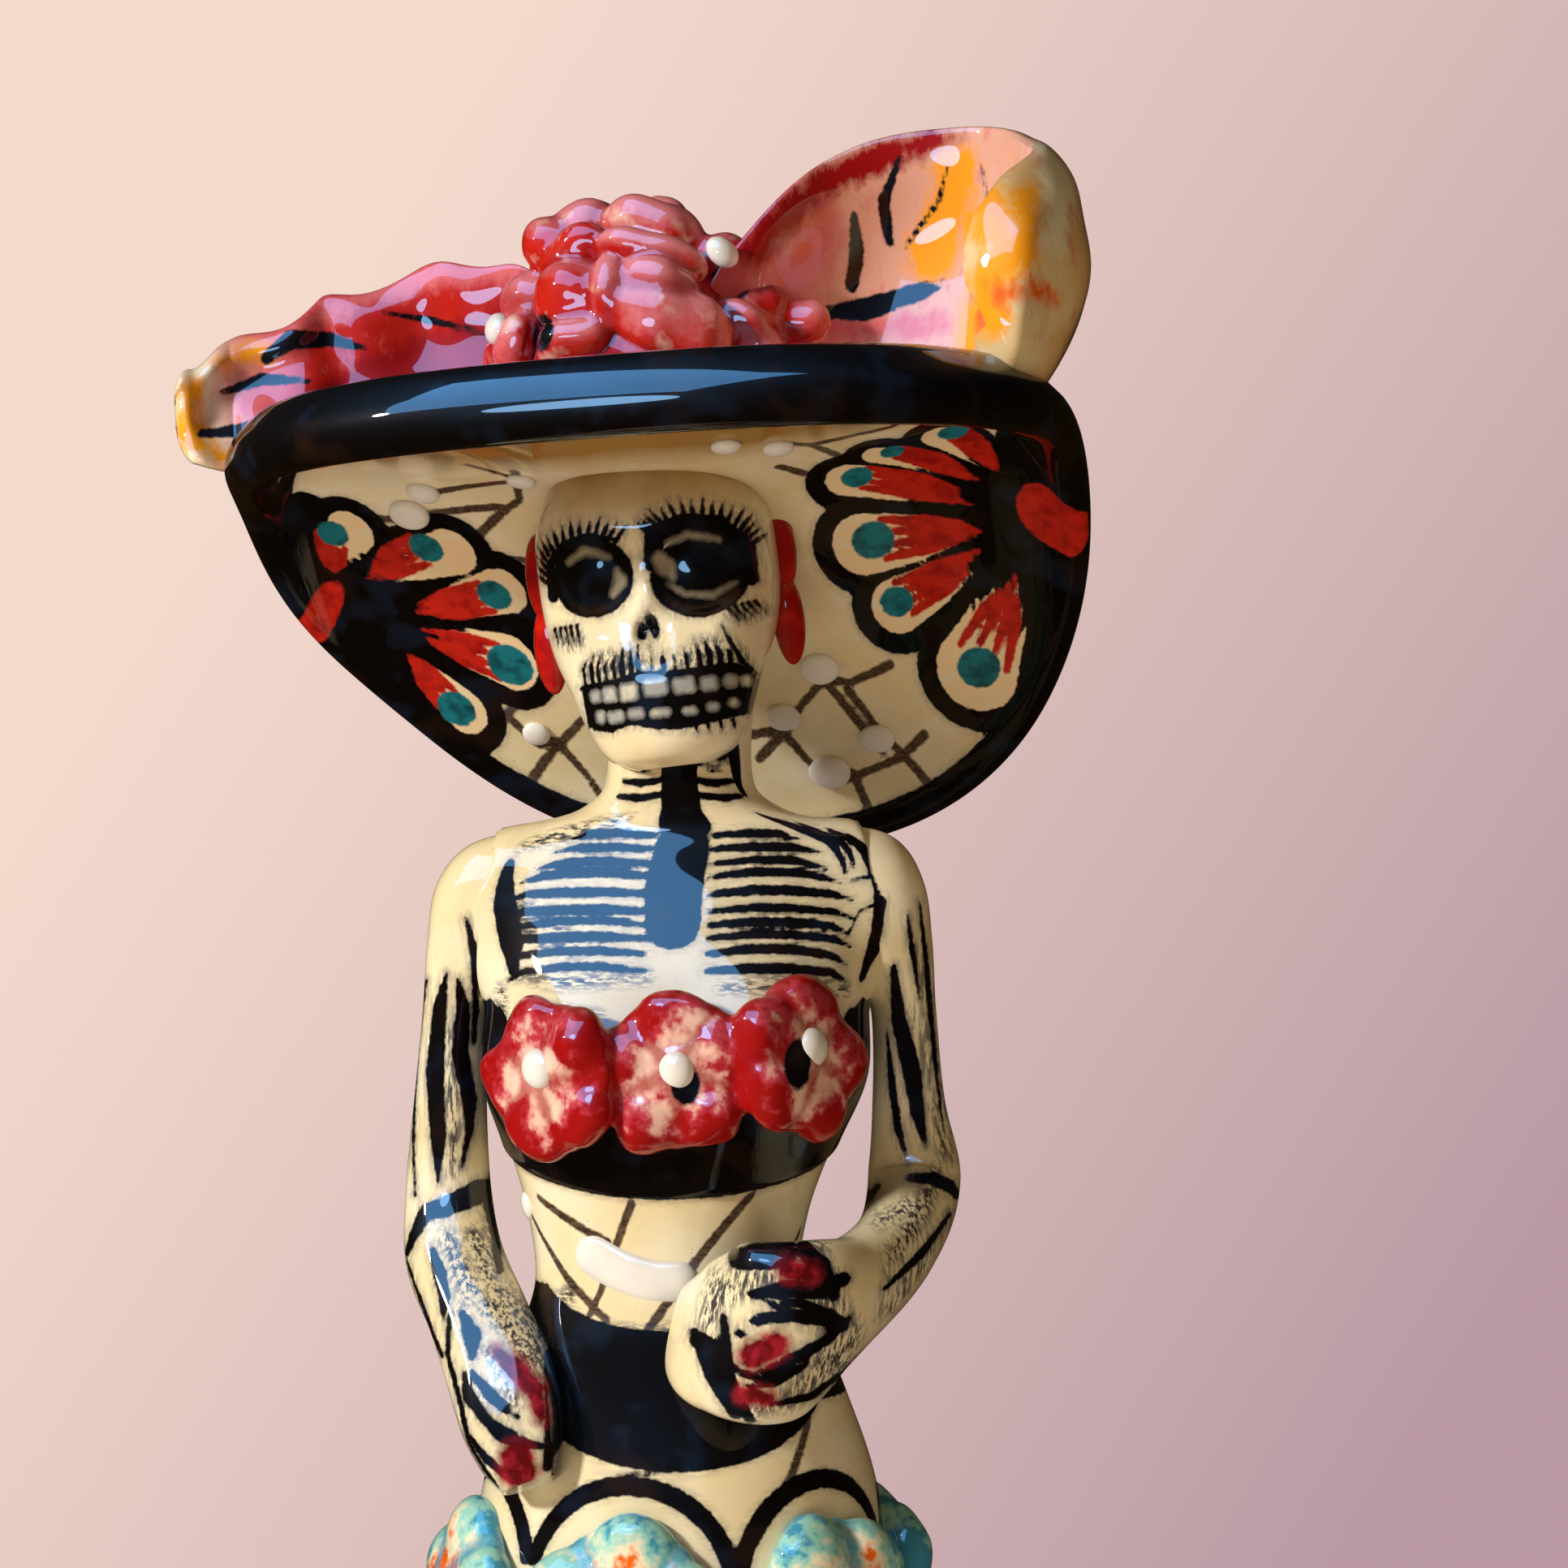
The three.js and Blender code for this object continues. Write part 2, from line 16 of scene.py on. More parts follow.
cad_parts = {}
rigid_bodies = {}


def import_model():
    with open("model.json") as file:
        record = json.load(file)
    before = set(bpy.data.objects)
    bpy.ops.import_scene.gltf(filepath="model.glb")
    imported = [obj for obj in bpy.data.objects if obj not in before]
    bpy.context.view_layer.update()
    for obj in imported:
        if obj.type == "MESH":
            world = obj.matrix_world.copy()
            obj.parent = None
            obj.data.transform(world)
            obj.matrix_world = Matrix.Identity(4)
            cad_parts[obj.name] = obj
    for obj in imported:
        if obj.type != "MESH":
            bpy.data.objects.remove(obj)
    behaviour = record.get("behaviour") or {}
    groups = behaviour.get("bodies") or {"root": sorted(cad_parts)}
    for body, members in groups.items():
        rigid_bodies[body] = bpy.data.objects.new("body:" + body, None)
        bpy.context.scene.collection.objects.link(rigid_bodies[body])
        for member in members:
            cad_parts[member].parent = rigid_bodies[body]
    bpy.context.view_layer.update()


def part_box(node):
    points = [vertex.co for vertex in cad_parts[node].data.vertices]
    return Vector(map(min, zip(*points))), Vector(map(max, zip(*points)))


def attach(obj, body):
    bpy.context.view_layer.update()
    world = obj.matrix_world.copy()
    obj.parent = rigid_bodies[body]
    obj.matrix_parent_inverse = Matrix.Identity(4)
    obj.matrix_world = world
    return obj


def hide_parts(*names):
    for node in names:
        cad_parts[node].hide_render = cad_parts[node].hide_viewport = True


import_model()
low, high = (Vector(corner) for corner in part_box("skeleton_figure"))
DRAWN_HEIGHT = 318.09  # the forms below are drawn in millimetres for a figure of this height
MM = (high.z - low.z) / DRAWN_HEIGHT
print("one drawn millimetre is", round(MM * 1000, 4), "mm of the frame")

# %% [markdown]
# ## The camera
# The photograph is a level close-up with a long lens, which cuts her off below the hips. A camera that
# stands at the height of her chin and looks straight ahead has the same view. Its lens is worked out
# from the width that the photograph shows at her middle.

# %% The camera
CAMERA_PLACE = (12.8, -560, 236.4)
SEEN_WIDTH = 193.2  # how much of the plane through her middle the frame takes in
SENSOR = 36

camera_data = bpy.data.cameras.new("camera")
camera_data.sensor_width = SENSOR
camera_data.lens = SENSOR * -CAMERA_PLACE[1] / SEEN_WIDTH
camera_data.clip_start = 0.01
camera = bpy.data.objects.new("camera", camera_data)
camera.location = Vector(CAMERA_PLACE) * MM
camera.rotation_euler = (math.pi / 2, 0, 0)  # level, looking along Y
bpy.context.collection.objects.link(camera)
bpy.context.scene.camera = camera
print("lens", round(camera_data.lens, 1), "mm")

# %% [markdown]
# ## Helpers for soft forms
# Hand-modelled clay has no straight edge, so nearly every form here is a section that changes slowly along
# a route. A small table holds the sizes at a few stations, and a smooth curve runs through its rows.
# Subdivision surfaces could do that too, but a table says each size plainly.


# %% A table read along a smooth curve
def cubic(share, here, there, leaving, arriving):
    """From here to there along a curve that has a given slope at both ends."""
    change = there - here
    bend = 3 * change - 2 * leaving - arriving
    twist = leaving + arriving - 2 * change
    return here + share * (leaving + share * (bend + share * twist))


def read(table, at):
    """The values of a table's rows at places along its first column."""
    table = np.array(table, float)
    places, values = table[:, 0], table[:, 1:]
    at = np.clip(at, places[0], places[-1])
    row = np.clip(np.searchsorted(places, at, side="left") - 1, 0, len(places) - 2)
    before, after = np.maximum(row - 1, 0), np.minimum(row + 2, len(places) - 1)
    span = places[row + 1] - places[row]
    share = ((at - places[row]) / span)[..., None]
    here, there = values[row], values[row + 1]
    leaving = (there - values[before]) * (span / (places[row + 1] - places[before]))[..., None]
    arriving = (values[after] - here) * (span / (places[after] - places[row]))[..., None]
    return np.moveaxis(cubic(share, here, there, leaving, arriving), -1, 0)


def bell(x, y, width, height):
    """A soft bump of 1 at the middle."""
    return np.exp(-((x / width) ** 2) - (y / height) ** 2)


def ease(value, low_end, high_end):
    """0 below the low end and 1 above the high end, with a smooth change between them."""
    share = np.clip((value - low_end) / (high_end - low_end), 0, 1)
    return share * share * (3 - 2 * share)


def at_stations(stations, along):
    """The values of a table's rows at places along its first column, in straight steps."""
    return [np.interp(along, stations[:, 0], column) for column in stations[:, 1:].T]


def signed_power(value, power):
    return np.sign(value) * np.abs(value) ** power


def stacked(*columns):
    return np.stack(np.broadcast_arrays(*columns), axis=-1)


print("a bump halfway down:", round(float(bell(0.83, 0, 1, 1)), 2))

# %% [markdown]
# ## A skin of clay
# Each form starts as a flat grid, which is bent onto the form by a rule, as a potter wraps a slab round a
# former. The grid's edges meet at a seam that is welded, and a row that shrinks to a point is welded to a
# pole. The two shares of the grid stay on the mesh as layers, so that the painting can use them.

# %% Skins and pieces
SEAM = 1e-7  # how close two vertices lie to be welded
AROUND, ALONG = "around", "along"


def skin(around, along, shape, welded=True):
    """A fine grid bent onto shape(share around, share along), whose places are drawn millimetres."""
    clay = bmesh.new()
    bmesh.ops.create_grid(clay, x_segments=around, y_segments=along, size=0.5)
    shares = np.array([vert.co for vert in clay.verts]) + 0.5
    places = shape(shares[:, 0], shares[:, 1]) * MM
    layers = [clay.verts.layers.float.new(name) for name in (AROUND, ALONG)]
    for vert, place, share in zip(clay.verts, places, shares):
        vert.co = place
        vert[layers[0]], vert[layers[1]] = share[0], share[1]
    if welded:
        bmesh.ops.remove_doubles(clay, verts=clay.verts, dist=SEAM)
        bmesh.ops.recalc_face_normals(clay, faces=clay.faces)
    return clay


def meshed(name, *clays):
    """One mesh from one or more skins."""
    mesh = bpy.data.meshes.new(name)
    whole = clays[0]
    for clay in clays[1:]:
        clay.to_mesh(mesh)
        whole.from_mesh(mesh)
        clay.free()
    whole.to_mesh(mesh)
    whole.free()
    return mesh


def finished(name, mesh, material):
    """A piece of the figure, smooth all over, that stands for the frame's one solid."""
    mesh.shade_smooth()
    mesh.materials.clear()
    mesh.materials.append(material)
    piece = bpy.data.objects.new(name, mesh)
    bpy.context.collection.objects.link(piece)
    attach(piece, "root")
    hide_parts("skeleton_figure")
    print(name, "has", sum(len(face.vertices) - 2 for face in mesh.polygons), "triangles")
    return piece


def vectors_of(mesh, kind):
    flat = np.empty(len(mesh.vertices) * 3)
    mesh.vertices.foreach_get(kind, flat)
    return flat.reshape(-1, 3)


def places_of(mesh):
    """The vertices of a mesh in drawn millimetres."""
    return vectors_of(mesh, "co") / MM


def move_to(mesh, places):
    """Moves the vertices of a mesh to places in drawn millimetres."""
    mesh.vertices.foreach_set("co", (places * MM).ravel())
    mesh.update()


def layer_of(mesh, name):
    values = np.empty(len(mesh.vertices))
    mesh.attributes[name].data.foreach_get("value", values)
    return values


print("seams are welded within", round(SEAM / MM, 5), "mm")


# %% [markdown]
# ## Head and hat lean
# She bends her head to her right and looks a little that way, and the hat is turned further round. Head and
# hat are drawn upright round the top of the skull, and one matrix each leans them about the top of the neck.

# %% The leaned frames
NECK_TOP = Vector((0.2, -1, 240))
SKULL_TOP = Vector((0, 0, 276))


def leaned(yaw, roll):
    turn = Matrix.Rotation(math.radians(yaw), 4, "Z") @ Matrix.Rotation(math.radians(roll), 4, "Y")
    return np.array(Matrix.Translation(NECK_TOP) @ turn @ Matrix.Translation(SKULL_TOP - NECK_TOP))


def moved(matrix, places):
    return places @ matrix[:3, :3].T + matrix[:3, 3]


HEAD = leaned(-6, -7)
HAT = leaned(-13, -3.5)
print("the skull's top leans to", moved(HEAD, np.zeros(3)).round(1))

# %% [markdown]
# ## The body
# Skirt, waist, chest and neck are one rising form, thrown or coiled as a hollow and then squeezed to a
# waist. Each row of the table is a level: its half width, its half depth, and how far its middle sits
# forward and to her left. A loft through ovals has the clean reflections that a sculpted mesh would lose.

# %% Levels of the body
HALF_HEM = (49.7, 45.7)
HALF_HIP = (26.4, 22.5)
HALF_WAIST = (16.25, 12.2)
FRONT = -math.pi / 2


def between(small, large, share):
    return [a + (b - a) * share for a, b in zip(small, large)]


BODY = [
    [0, *HALF_HEM, 0, 0],
    [6, *between(HALF_HIP, HALF_HEM, 0.975), 0, 0],
    [40, *between(HALF_HIP, HALF_HEM, 0.715), 0, 0],
    [80, *between(HALF_HIP, HALF_HEM, 0.417), 0, 0],
    [112, *between(HALF_HIP, HALF_HEM, 0.189), 0.5, 0],
    [138, *HALF_HIP, 1, 0],
    [152, *between(HALF_WAIST, HALF_HIP, 0.75), 1, 0],
    [162, *between(HALF_WAIST, HALF_HIP, 0.45), 1.4, -0.4],
    [170, *between(HALF_WAIST, HALF_HIP, 0.19), 2.4, -1],
    [176, *HALF_WAIST, 2.8, -1.4],
    [184, 17.2, 12.6, 2.8, -1.4],
    [192, 19.8, 14, 2.6, -1.1],
    [201, 23.2, 15, 3, -0.6],
    [210, 23.6, 13.6, 2.4, -0.3],
    [219, 24.6, 11.6, 1, 0],
    [225, 24.4, 9.8, 0, 0.3],
    [228.6, 23.2, 8.5, 0, 0.8],
    [231.2, 19.4, 7.5, 0.1, 0.8],
    [233.2, 12.8, 7.4, 0.3, 0.3],
    [236.4, 9.2, 7.8, 0.6, 0],
    [248, 9.2, 7.6, 1, 0],
]
BUST = {"side": 11, "height": 203, "size": 9, "swell": 4.6}
HEM_BEAD = {"height": 3.5, "size": 2.6, "swell": 0.9}
# The bodice stands out over the waist by the ledge, which fades away below its top.
BODICE = {"edge": 186.6, "rise_behind": 5.2, "ledge": 0.7, "soft": (-0.5, 0.7), "top": 212, "fade": 16}


def bodice_edge(angle):
    """The height of the bodice's lower edge, by the angle from the front."""
    return BODICE["edge"] + BODICE["rise_behind"] * (1 - np.cos(angle))


def body_point(angle, height, share=1.0):
    """A place on the body, by the angle from the front, the height and a share of the section."""
    width, depth, forward, aside = read(BODY, height)
    bead = HEM_BEAD["swell"] * bell(height - HEM_BEAD["height"], 0, HEM_BEAD["size"], 1)
    over_edge = ease(height - bodice_edge(angle), *BODICE["soft"])
    ledge = BODICE["ledge"] * over_edge * ease(BODICE["top"] - height, 0, BODICE["fade"])
    side, out = np.cos(FRONT + angle), np.sin(FRONT + angle)
    x = (width + bead + ledge) * share * side
    y = (depth + bead + ledge) * share * out
    mounds = sum(bell(x - edge, height - BUST["height"], BUST["size"], BUST["size"])
                 for edge in (-BUST["side"], BUST["side"]))
    return stacked(x + aside, y - forward - BUST["swell"] * mounds * np.maximum(0, -out), height)


print("the front of the chest:", body_point(np.zeros(1), np.full(1, 203.0)).round(1))

# %% [markdown]
# The skin of the body is closed by a disc below and another inside the head. The grid has close rows at the
# waist and the chest, where the painting is fine, and wider ones down the skirt.

# %% The skin of the body
# Rows are [share along the skin, height, share of the section].
BODY_STATIONS = np.array([
    [0, 0, 0],
    [0.012, 0, 0.985],
    [0.02, 0.8, 1],
    [0.25, 112, 1],
    [0.42, 160, 1],
    [0.965, 238, 1],
    [0.99, 248, 1],
    [1, 248, 0],
])


def body_skin(around, along):
    height, share = at_stations(BODY_STATIONS, along)
    return body_point((around - 0.5) * 2 * math.pi, height, share)


body_mesh = meshed("lady_body", skin(around=256, along=336, shape=body_skin))
print("the body has", len(body_mesh.vertices), "vertices")

# %% [markdown]
# ## The arms
# Each arm is a roll of clay that thickens at the elbow and flattens to a mitten hand. One hangs with its
# hand on the hip, the other is bent before the waist. A bent tube with a bevelled curve would stay round,
# so each row of a table is a station: its place, its half width and its half thickness.

# %% Routes of the arms
ARM_RIGHT = [
    [-21.2, 0.4, 227.2, 1.6, 2],
    [-23.2, 0.5, 225.7, 4.2, 4.1],
    [-25.3, 0.7, 222.4, 5, 5.2],
    [-26.6, 0.8, 217, 4.6, 5],
    [-27.8, 1, 208, 4, 4.4],
    [-28.4, 1.4, 197, 4.5, 4.6],
    [-28.6, 1, 186, 5.3, 5],
    [-27.6, -2.6, 178.4, 6, 5.2],
    [-24.4, -8, 172, 6.1, 4.8],
    [-21.4, -12.6, 165.4, 6.5, 5],
    [-19.7, -15.5, 160, 6.2, 4.9],
    [-18.5, -17.3, 156, 5.1, 4.2],
    [-17.4, -18.3, 152.8, 3.4, 3],
]
ARM_LEFT = [
    [21.4, 0.4, 228.4, 1.6, 2],
    [23.2, 0.5, 226.8, 4.4, 4.2],
    [25.2, 0.7, 223, 5, 5.2],
    [26.5, 0.8, 217, 4.6, 5],
    [27.6, 1, 208, 4, 4.4],
    [28.2, 1.4, 197, 4.5, 4.8],
    [28.8, 0, 187, 6, 5.6],
    [26.4, -8, 180.6, 6.2, 5.2],
    [21.2, -16.4, 176, 7.2, 5.2],
    [16, -22.6, 173.6, 9.6, 5.6],
    [10.4, -24.8, 171.8, 10.8, 5.2],
    [5.4, -21.8, 171, 9.2, 4.8],
    [2.2, -17.2, 170.6, 6.6, 3.8],
]
# The ways that the widths of the two arms lie.
SIDEWAYS = np.array([1, 0, 0])
UPRIGHT = np.array([0.33, 0, 0.944])


def route(spots, share):
    """Places on a smooth curve through spots, with even steps of share from spot to spot."""
    spots = np.array(spots)
    spots = np.vstack([2 * spots[0] - spots[1], spots, 2 * spots[-1] - spots[-2]])
    place = share * (len(spots) - 3)
    row = np.clip(place.astype(int), 0, len(spots) - 4)
    before, here, there, after = (spots[row + step] for step in range(4))
    pairs = ((before, here), (here, there), (there, after))
    gaps = [np.linalg.norm(end - start, axis=-1, keepdims=True) ** 0.5 for start, end in pairs]
    change = there - here
    leaving = (here - before) / gaps[0] - (there - before) / (gaps[0] + gaps[1]) + change / gaps[1]
    arriving = change / gaps[1] - (after - here) / (gaps[1] + gaps[2]) + (after - there) / gaps[2]
    return cubic((place - row)[..., None], here, there, leaving * gaps[1], arriving * gaps[1])


def unit(vectors):
    return vectors / np.linalg.norm(vectors, axis=-1, keepdims=True)


def numbered(rows):
    """A table's rows with their even shares along it in front."""
    return [[index / (len(rows) - 1), *row] for index, row in enumerate(rows)]


print("the right elbow is at", route([row[:3] for row in ARM_RIGHT], np.array([0.5]))[0].round(1))

# %% The skins of the arms
LIMB_STEP = 0.002  # a small step along a limb, to find its direction
HAND = {"wrist": 0.72, "palm": 0.84, "boxy": 0.34}  # shares along an arm, and how squared the mitten is
END_TIP, END_TIP_OPEN = 0.01, 0.7  # a rounded end: a place on it, and how far it has opened there


def limb_frame(rows, wide, share):
    """The centre, the two cross directions and the two half sizes of a limb at shares along it."""
    spots = [row[:3] for row in rows]
    sizes = numbered([row[3:] for row in rows])
    ends = [np.clip(share + step, 0, 1) for step in (-LIMB_STEP, LIMB_STEP)]
    along = unit(route(spots, ends[1]) - route(spots, ends[0]))
    across = unit(wide - along * (along @ wide)[:, None])
    return route(spots, share), across, np.cross(along, across), read(sizes, share)


def with_ends(along, end):
    """Shares along a form and how open it is there, for a skin that closes both ends over a share of it."""
    share = np.interp(along, [0, end, 1 - end, 1], [0, 0, 1, 1])
    places = [0, END_TIP, end, 1 - end, 1 - END_TIP, 1]
    return share, np.interp(along, places, [0, END_TIP_OPEN, 1, 1, END_TIP_OPEN, 0])


def limb_skin(rows, wide):
    def shape(around, along):
        share, cap = with_ends(along, 0.02)
        centre, across, out, (width, thick) = limb_frame(rows, wide, share)
        power = 1 - HAND["boxy"] * ease(share, HAND["wrist"], HAND["palm"])
        side, front = (signed_power(part(around * 2 * math.pi), power) for part in (np.cos, np.sin))
        return centre + across * (width * cap * side)[:, None] + out * (thick * cap * front)[:, None]
    return shape


right_arm_mesh = meshed("lady_right_arm", skin(around=90, along=230, shape=limb_skin(ARM_RIGHT, SIDEWAYS)))
left_arm_mesh = meshed("lady_left_arm", skin(around=100, along=260, shape=limb_skin(ARM_LEFT, UPRIGHT)))
print("arms of", len(right_arm_mesh.vertices), "and", len(left_arm_mesh.vertices), "vertices")

# %% [markdown]
# ## Shoulders
# The rolls were pressed onto the chest and smoothed over with a wet finger, so no crease shows on the
# shoulder. A boolean and a bevel would break the even grids. Instead both skins swell beside the crease:
# more where they meet at a sharp angle, and less with the distance to the other form.

# %% Joints that are smoothed over
# How far the swell reaches outside and under the other form, how much and how high up it is, and the
# shares of an arm that the body feels.
JOINT = {"soft": 6, "under": 2.5, "share": 0.45, "most": 2.4, "from": 208, "full": 216, "arm": (0.06, 0.5)}
ALIKE = (-0.9, 1)  # bounds for how alike the directions of two skins are
NUDGE = 0.05  # a small step in space, to find the way out of a form
BALLS = 60  # how many balls stand for the upper half of an arm
RUN = 1  # millimetres over which the balls run together


def body_field(spots):
    """0 on the body's skin and more outside it."""
    width, depth, forward, aside = read(BODY, spots[:, 2])
    return np.hypot((spots[:, 0] - aside) / width, (spots[:, 1] + forward) / depth) - 1


def arm_field(rows, wide):
    """How far places lie outside the upper half of an arm, as a row of balls that run together."""
    centres, _, _, sizes = limb_frame(rows, wide, np.linspace(*JOINT["arm"], BALLS))
    radii = np.mean(sizes, axis=0)

    def field(spots):
        gaps = np.linalg.norm(spots[:, None] - centres[None], axis=-1) - radii
        weights = np.exp((gaps.min(axis=1, keepdims=True) - gaps) / RUN)
        return (gaps * weights).sum(-1) / weights.sum(-1) - RUN / 2

    return field


def distance_to(field, spots):
    """About how far places lie outside a form, and the way out of it."""
    value = field(spots)
    slope = np.stack([(field(spots + axis * NUDGE) - value) / NUDGE for axis in np.eye(3)], axis=1)
    steep = np.linalg.norm(slope, axis=1)
    return value / steep, slope / steep[:, None]


def smooth_joint(mesh, other_field):
    """Swells a skin outward beside the crease where it meets the other form."""
    places = places_of(mesh)
    near = np.where(places[:, 2] > JOINT["from"])[0]
    my_way = vectors_of(mesh, "normal")[near]
    its, its_way = distance_to(other_field, places[near])
    reach = np.clip(1 - np.abs(its) / np.where(its > 0, JOINT["soft"], JOINT["under"]), 0, 1)
    alike = np.clip((my_way * its_way).sum(-1), *ALIKE)
    lean = np.sqrt((1 - alike) / (1 + alike))
    swell = np.minimum(JOINT["share"] * JOINT["soft"] * lean, JOINT["most"])
    swell *= reach ** 2 * ease(places[near, 2], JOINT["from"], JOINT["full"])
    places[near] += my_way * swell[:, None]
    move_to(mesh, places)
    print(mesh.name, "swelled by up to", round(float(swell.max()), 1), "mm")


for mesh, rows, wide in ((right_arm_mesh, ARM_RIGHT, SIDEWAYS), (left_arm_mesh, ARM_LEFT, UPRIGHT)):
    smooth_joint(body_mesh, arm_field(rows, wide))
    smooth_joint(mesh, body_field)

# %% [markdown]
# ## The skull
# The head is a ball of clay whose face was pressed in with the fingers: two round sockets, a nose hole and
# hollow cheeks, with the mouth left proud. Each row of the face is one press of a tool, as a soft bump.

# %% Sections of the skull
# Rows are [height, half width, Y in front, Y behind].
SKULL = [
    [-37.5, 4.6, -11.6, -3],
    [-36, 7.6, -13.4, -1],
    [-32.5, 9.8, -14.4, 2],
    [-28, 11.4, -14.8, 5],
    [-23, 13.4, -14.2, 9.4],
    [-18, 14.5, -13.6, 13],
    [-12, 14.8, -13.8, 14.6],
    [-7, 14.4, -14, 14.8],
    [-3, 12.8, -12.6, 13.6],
    [2, 10, -9, 11],
]
# Rows are [from the middle, height, how wide, how tall, depth]. A depth under 0 stands out.
FACE = [
    [-6.5, -14, 5.2, 4.8, 0.7],
    [6.3, -15, 5.4, 5, 0.7],
    [0, -9.4, 9, 2.6, -0.5],
    [0, -17, 1.8, 4, -1.5],
    [0, -21, 1.6, 2.2, 1.2],
    [-9.6, -21, 3, 2.6, -1],
    [9.6, -21, 3, 2.6, -1],
    [0, -28.5, 7.5, 5, -1],
    [0, -35, 4, 2.4, -0.7],
    [0.15, -20.6, 0.7, 1.6, 1.3],
    [-1.2, -20.9, 0.6, 1.1, 1.1],
]
# Rows are [from the middle, height, half width, half height] of the eye sockets.
EYES = [[-6.5, -13.7, 4.9, 4.6], [6.4, -15.2, 5.4, 4.7]]
EYE = {"rim": 0.66, "edge": 1.08, "deep": 1.2, "ball": 1.3, "ball_size": 0.6}
SQUARENESS = 0.84  # under 1 makes the skull squarer than an oval
FACE_CROWDING = 0.42  # how much closer the skin's columns lie over the face than behind
# Rows are [share along the skin, height, share of the section].
SKULL_STATIONS = np.array([[0, -37.5, 0], [0.03, -37.5, 0.96], [0.04, -37.5, 1], [0.97, 1, 1], [1, 2, 0]])


def skull_point(angle, height, share=1.0):
    """A place on the skull in the head's own frame; the angle runs round from her left."""
    width, front, back = read(SKULL, height)
    side, out = np.cos(angle), np.sin(angle)
    x = width * share * signed_power(side, SQUARENESS)
    y = (front + back) / 2 + (back - front) / 2 * share * signed_power(out, SQUARENESS)
    press = 0
    for across, up, wide, tall, depth in FACE:
        press = press + depth * bell(x - across, height - up, wide, tall)
    for across, up, wide, tall in EYES:
        away = np.hypot((x - across) / wide, (height - up) / tall)
        socket = EYE["deep"] * (1 - ease(away, EYE["rim"], EYE["edge"]))
        press = press + socket - EYE["ball"] * bell(away, 0, EYE["ball_size"], 1)
    return stacked(x, y - press * share * np.minimum(0, out), height)


def skull_skin(around, along):
    turn = around * 2 * math.pi
    angle = turn - FRONT + FACE_CROWDING * np.sin(turn)
    height, share = at_stations(SKULL_STATIONS, along)
    return moved(HEAD, skull_point(angle, height, share))


skull_mesh = meshed("lady_skull", skin(around=240, along=200, shape=skull_skin))
print("the skull has", len(skull_mesh.vertices), "vertices")

# %% [markdown]
# ## The hat
# The brim is a slab that dishes up in front, where its edge is rolled into a thick lip, and slopes down
# behind the head. One skin runs from the middle of the underside round the edge and back over the top to
# the crown, so the lip is a true roll and nothing is pieced together.

# %% The brim's middle surface
BRIM_HALF = (51.3, 46.3)
BRIM_SQUARE = 2.35  # 2 is an oval; more fills out its corners
BRIM_FULL = {"angle": 2.94, "spread": 0.33, "more": 4.5}  # it reaches further behind her right ear
BRIM_DISH, BRIM_DROP, BEND_SOFTNESS = 8.5, 55, 10
BRIM_THICK, LIP_THICK = 3.4, 6.8
# Where on the way out the edge begins to roll and to swell, and how far forward it does so.
LIP = {"start": 0.84, "tuck": 0.03, "curl": 5, "swell": (0.76, 0.94)}
LIP_FRONT = {"curl": (-0.6, 0.1), "swell": (-0.5, 0.35)}
STEP = 0.02  # a small step along a surface, to find its directions


def edge_reach(angle):
    side, back = np.abs(np.cos(angle)) / BRIM_HALF[0], np.abs(np.sin(angle)) / BRIM_HALF[1]
    oval = (side ** BRIM_SQUARE + back ** BRIM_SQUARE) ** (-1 / BRIM_SQUARE)
    away = np.mod(angle, 2 * math.pi) - BRIM_FULL["angle"]
    return oval + BRIM_FULL["more"] * bell(away, 0, BRIM_FULL["spread"], 1)


def frontness(angle, start, end):
    return ease(-np.sin(angle), start, end)


def brim_middle(angle, out):
    reach = out * edge_reach(angle)
    behind = reach * np.sin(angle)
    slope = BRIM_DROP / BRIM_HALF[1] * (behind + np.hypot(behind, BEND_SOFTNESS)) / 2
    roll = np.maximum(0, (out - LIP["start"]) / (1 - LIP["start"])) ** 2
    curl = LIP["curl"] * frontness(angle, *LIP_FRONT["curl"]) * roll
    inward = reach * (1 - LIP["tuck"] * roll)
    return stacked(inward * np.cos(angle), inward * np.sin(angle), BRIM_DISH * out - slope - curl)


def brim_half(angle, out):
    swell = (LIP_THICK - BRIM_THICK) * ease(out, *LIP["swell"]) * frontness(angle, *LIP_FRONT["swell"])
    return (BRIM_THICK + swell) / 2


def brim_normal(angle, out):
    inner = np.minimum(out, 1 - STEP)
    outward = brim_middle(angle, inner + STEP) - brim_middle(angle, inner - STEP)
    around = brim_middle(angle + STEP, inner) - brim_middle(angle - STEP, inner)
    return unit(np.cross(outward, around))


def brim_height(x, y):
    angle = np.arctan2(y, x)
    return brim_middle(angle, np.minimum(1, np.hypot(x, y) / edge_reach(angle)))[..., 2]


print("the brim's front edge is at", brim_middle(np.array([FRONT]), np.ones(1)).round(1))

# %% The crown and the skin of the hat
CROWN_AT, CROWN_HALF, CROWN_TOP, CROWN_ROUNDNESS = (-3, 4), (17, 15.5), 30.5, 2.5
BRIM_FROM, BRIM_TO = 0.02, 0.985  # shares of the way out where the skin starts, and where its edge rounds
# Rows are [share along the skin, place on the hat], from 0 to 1 under the brim, to 2 round its edge, to 3
# back over it, and to 4 up the crown.
HAT_STATIONS = np.array([
    [0, BRIM_FROM], [0.44, BRIM_TO], [0.54, 1 + BRIM_TO], [0.74, 2.97], [0.76, 3], [1, 4],
])


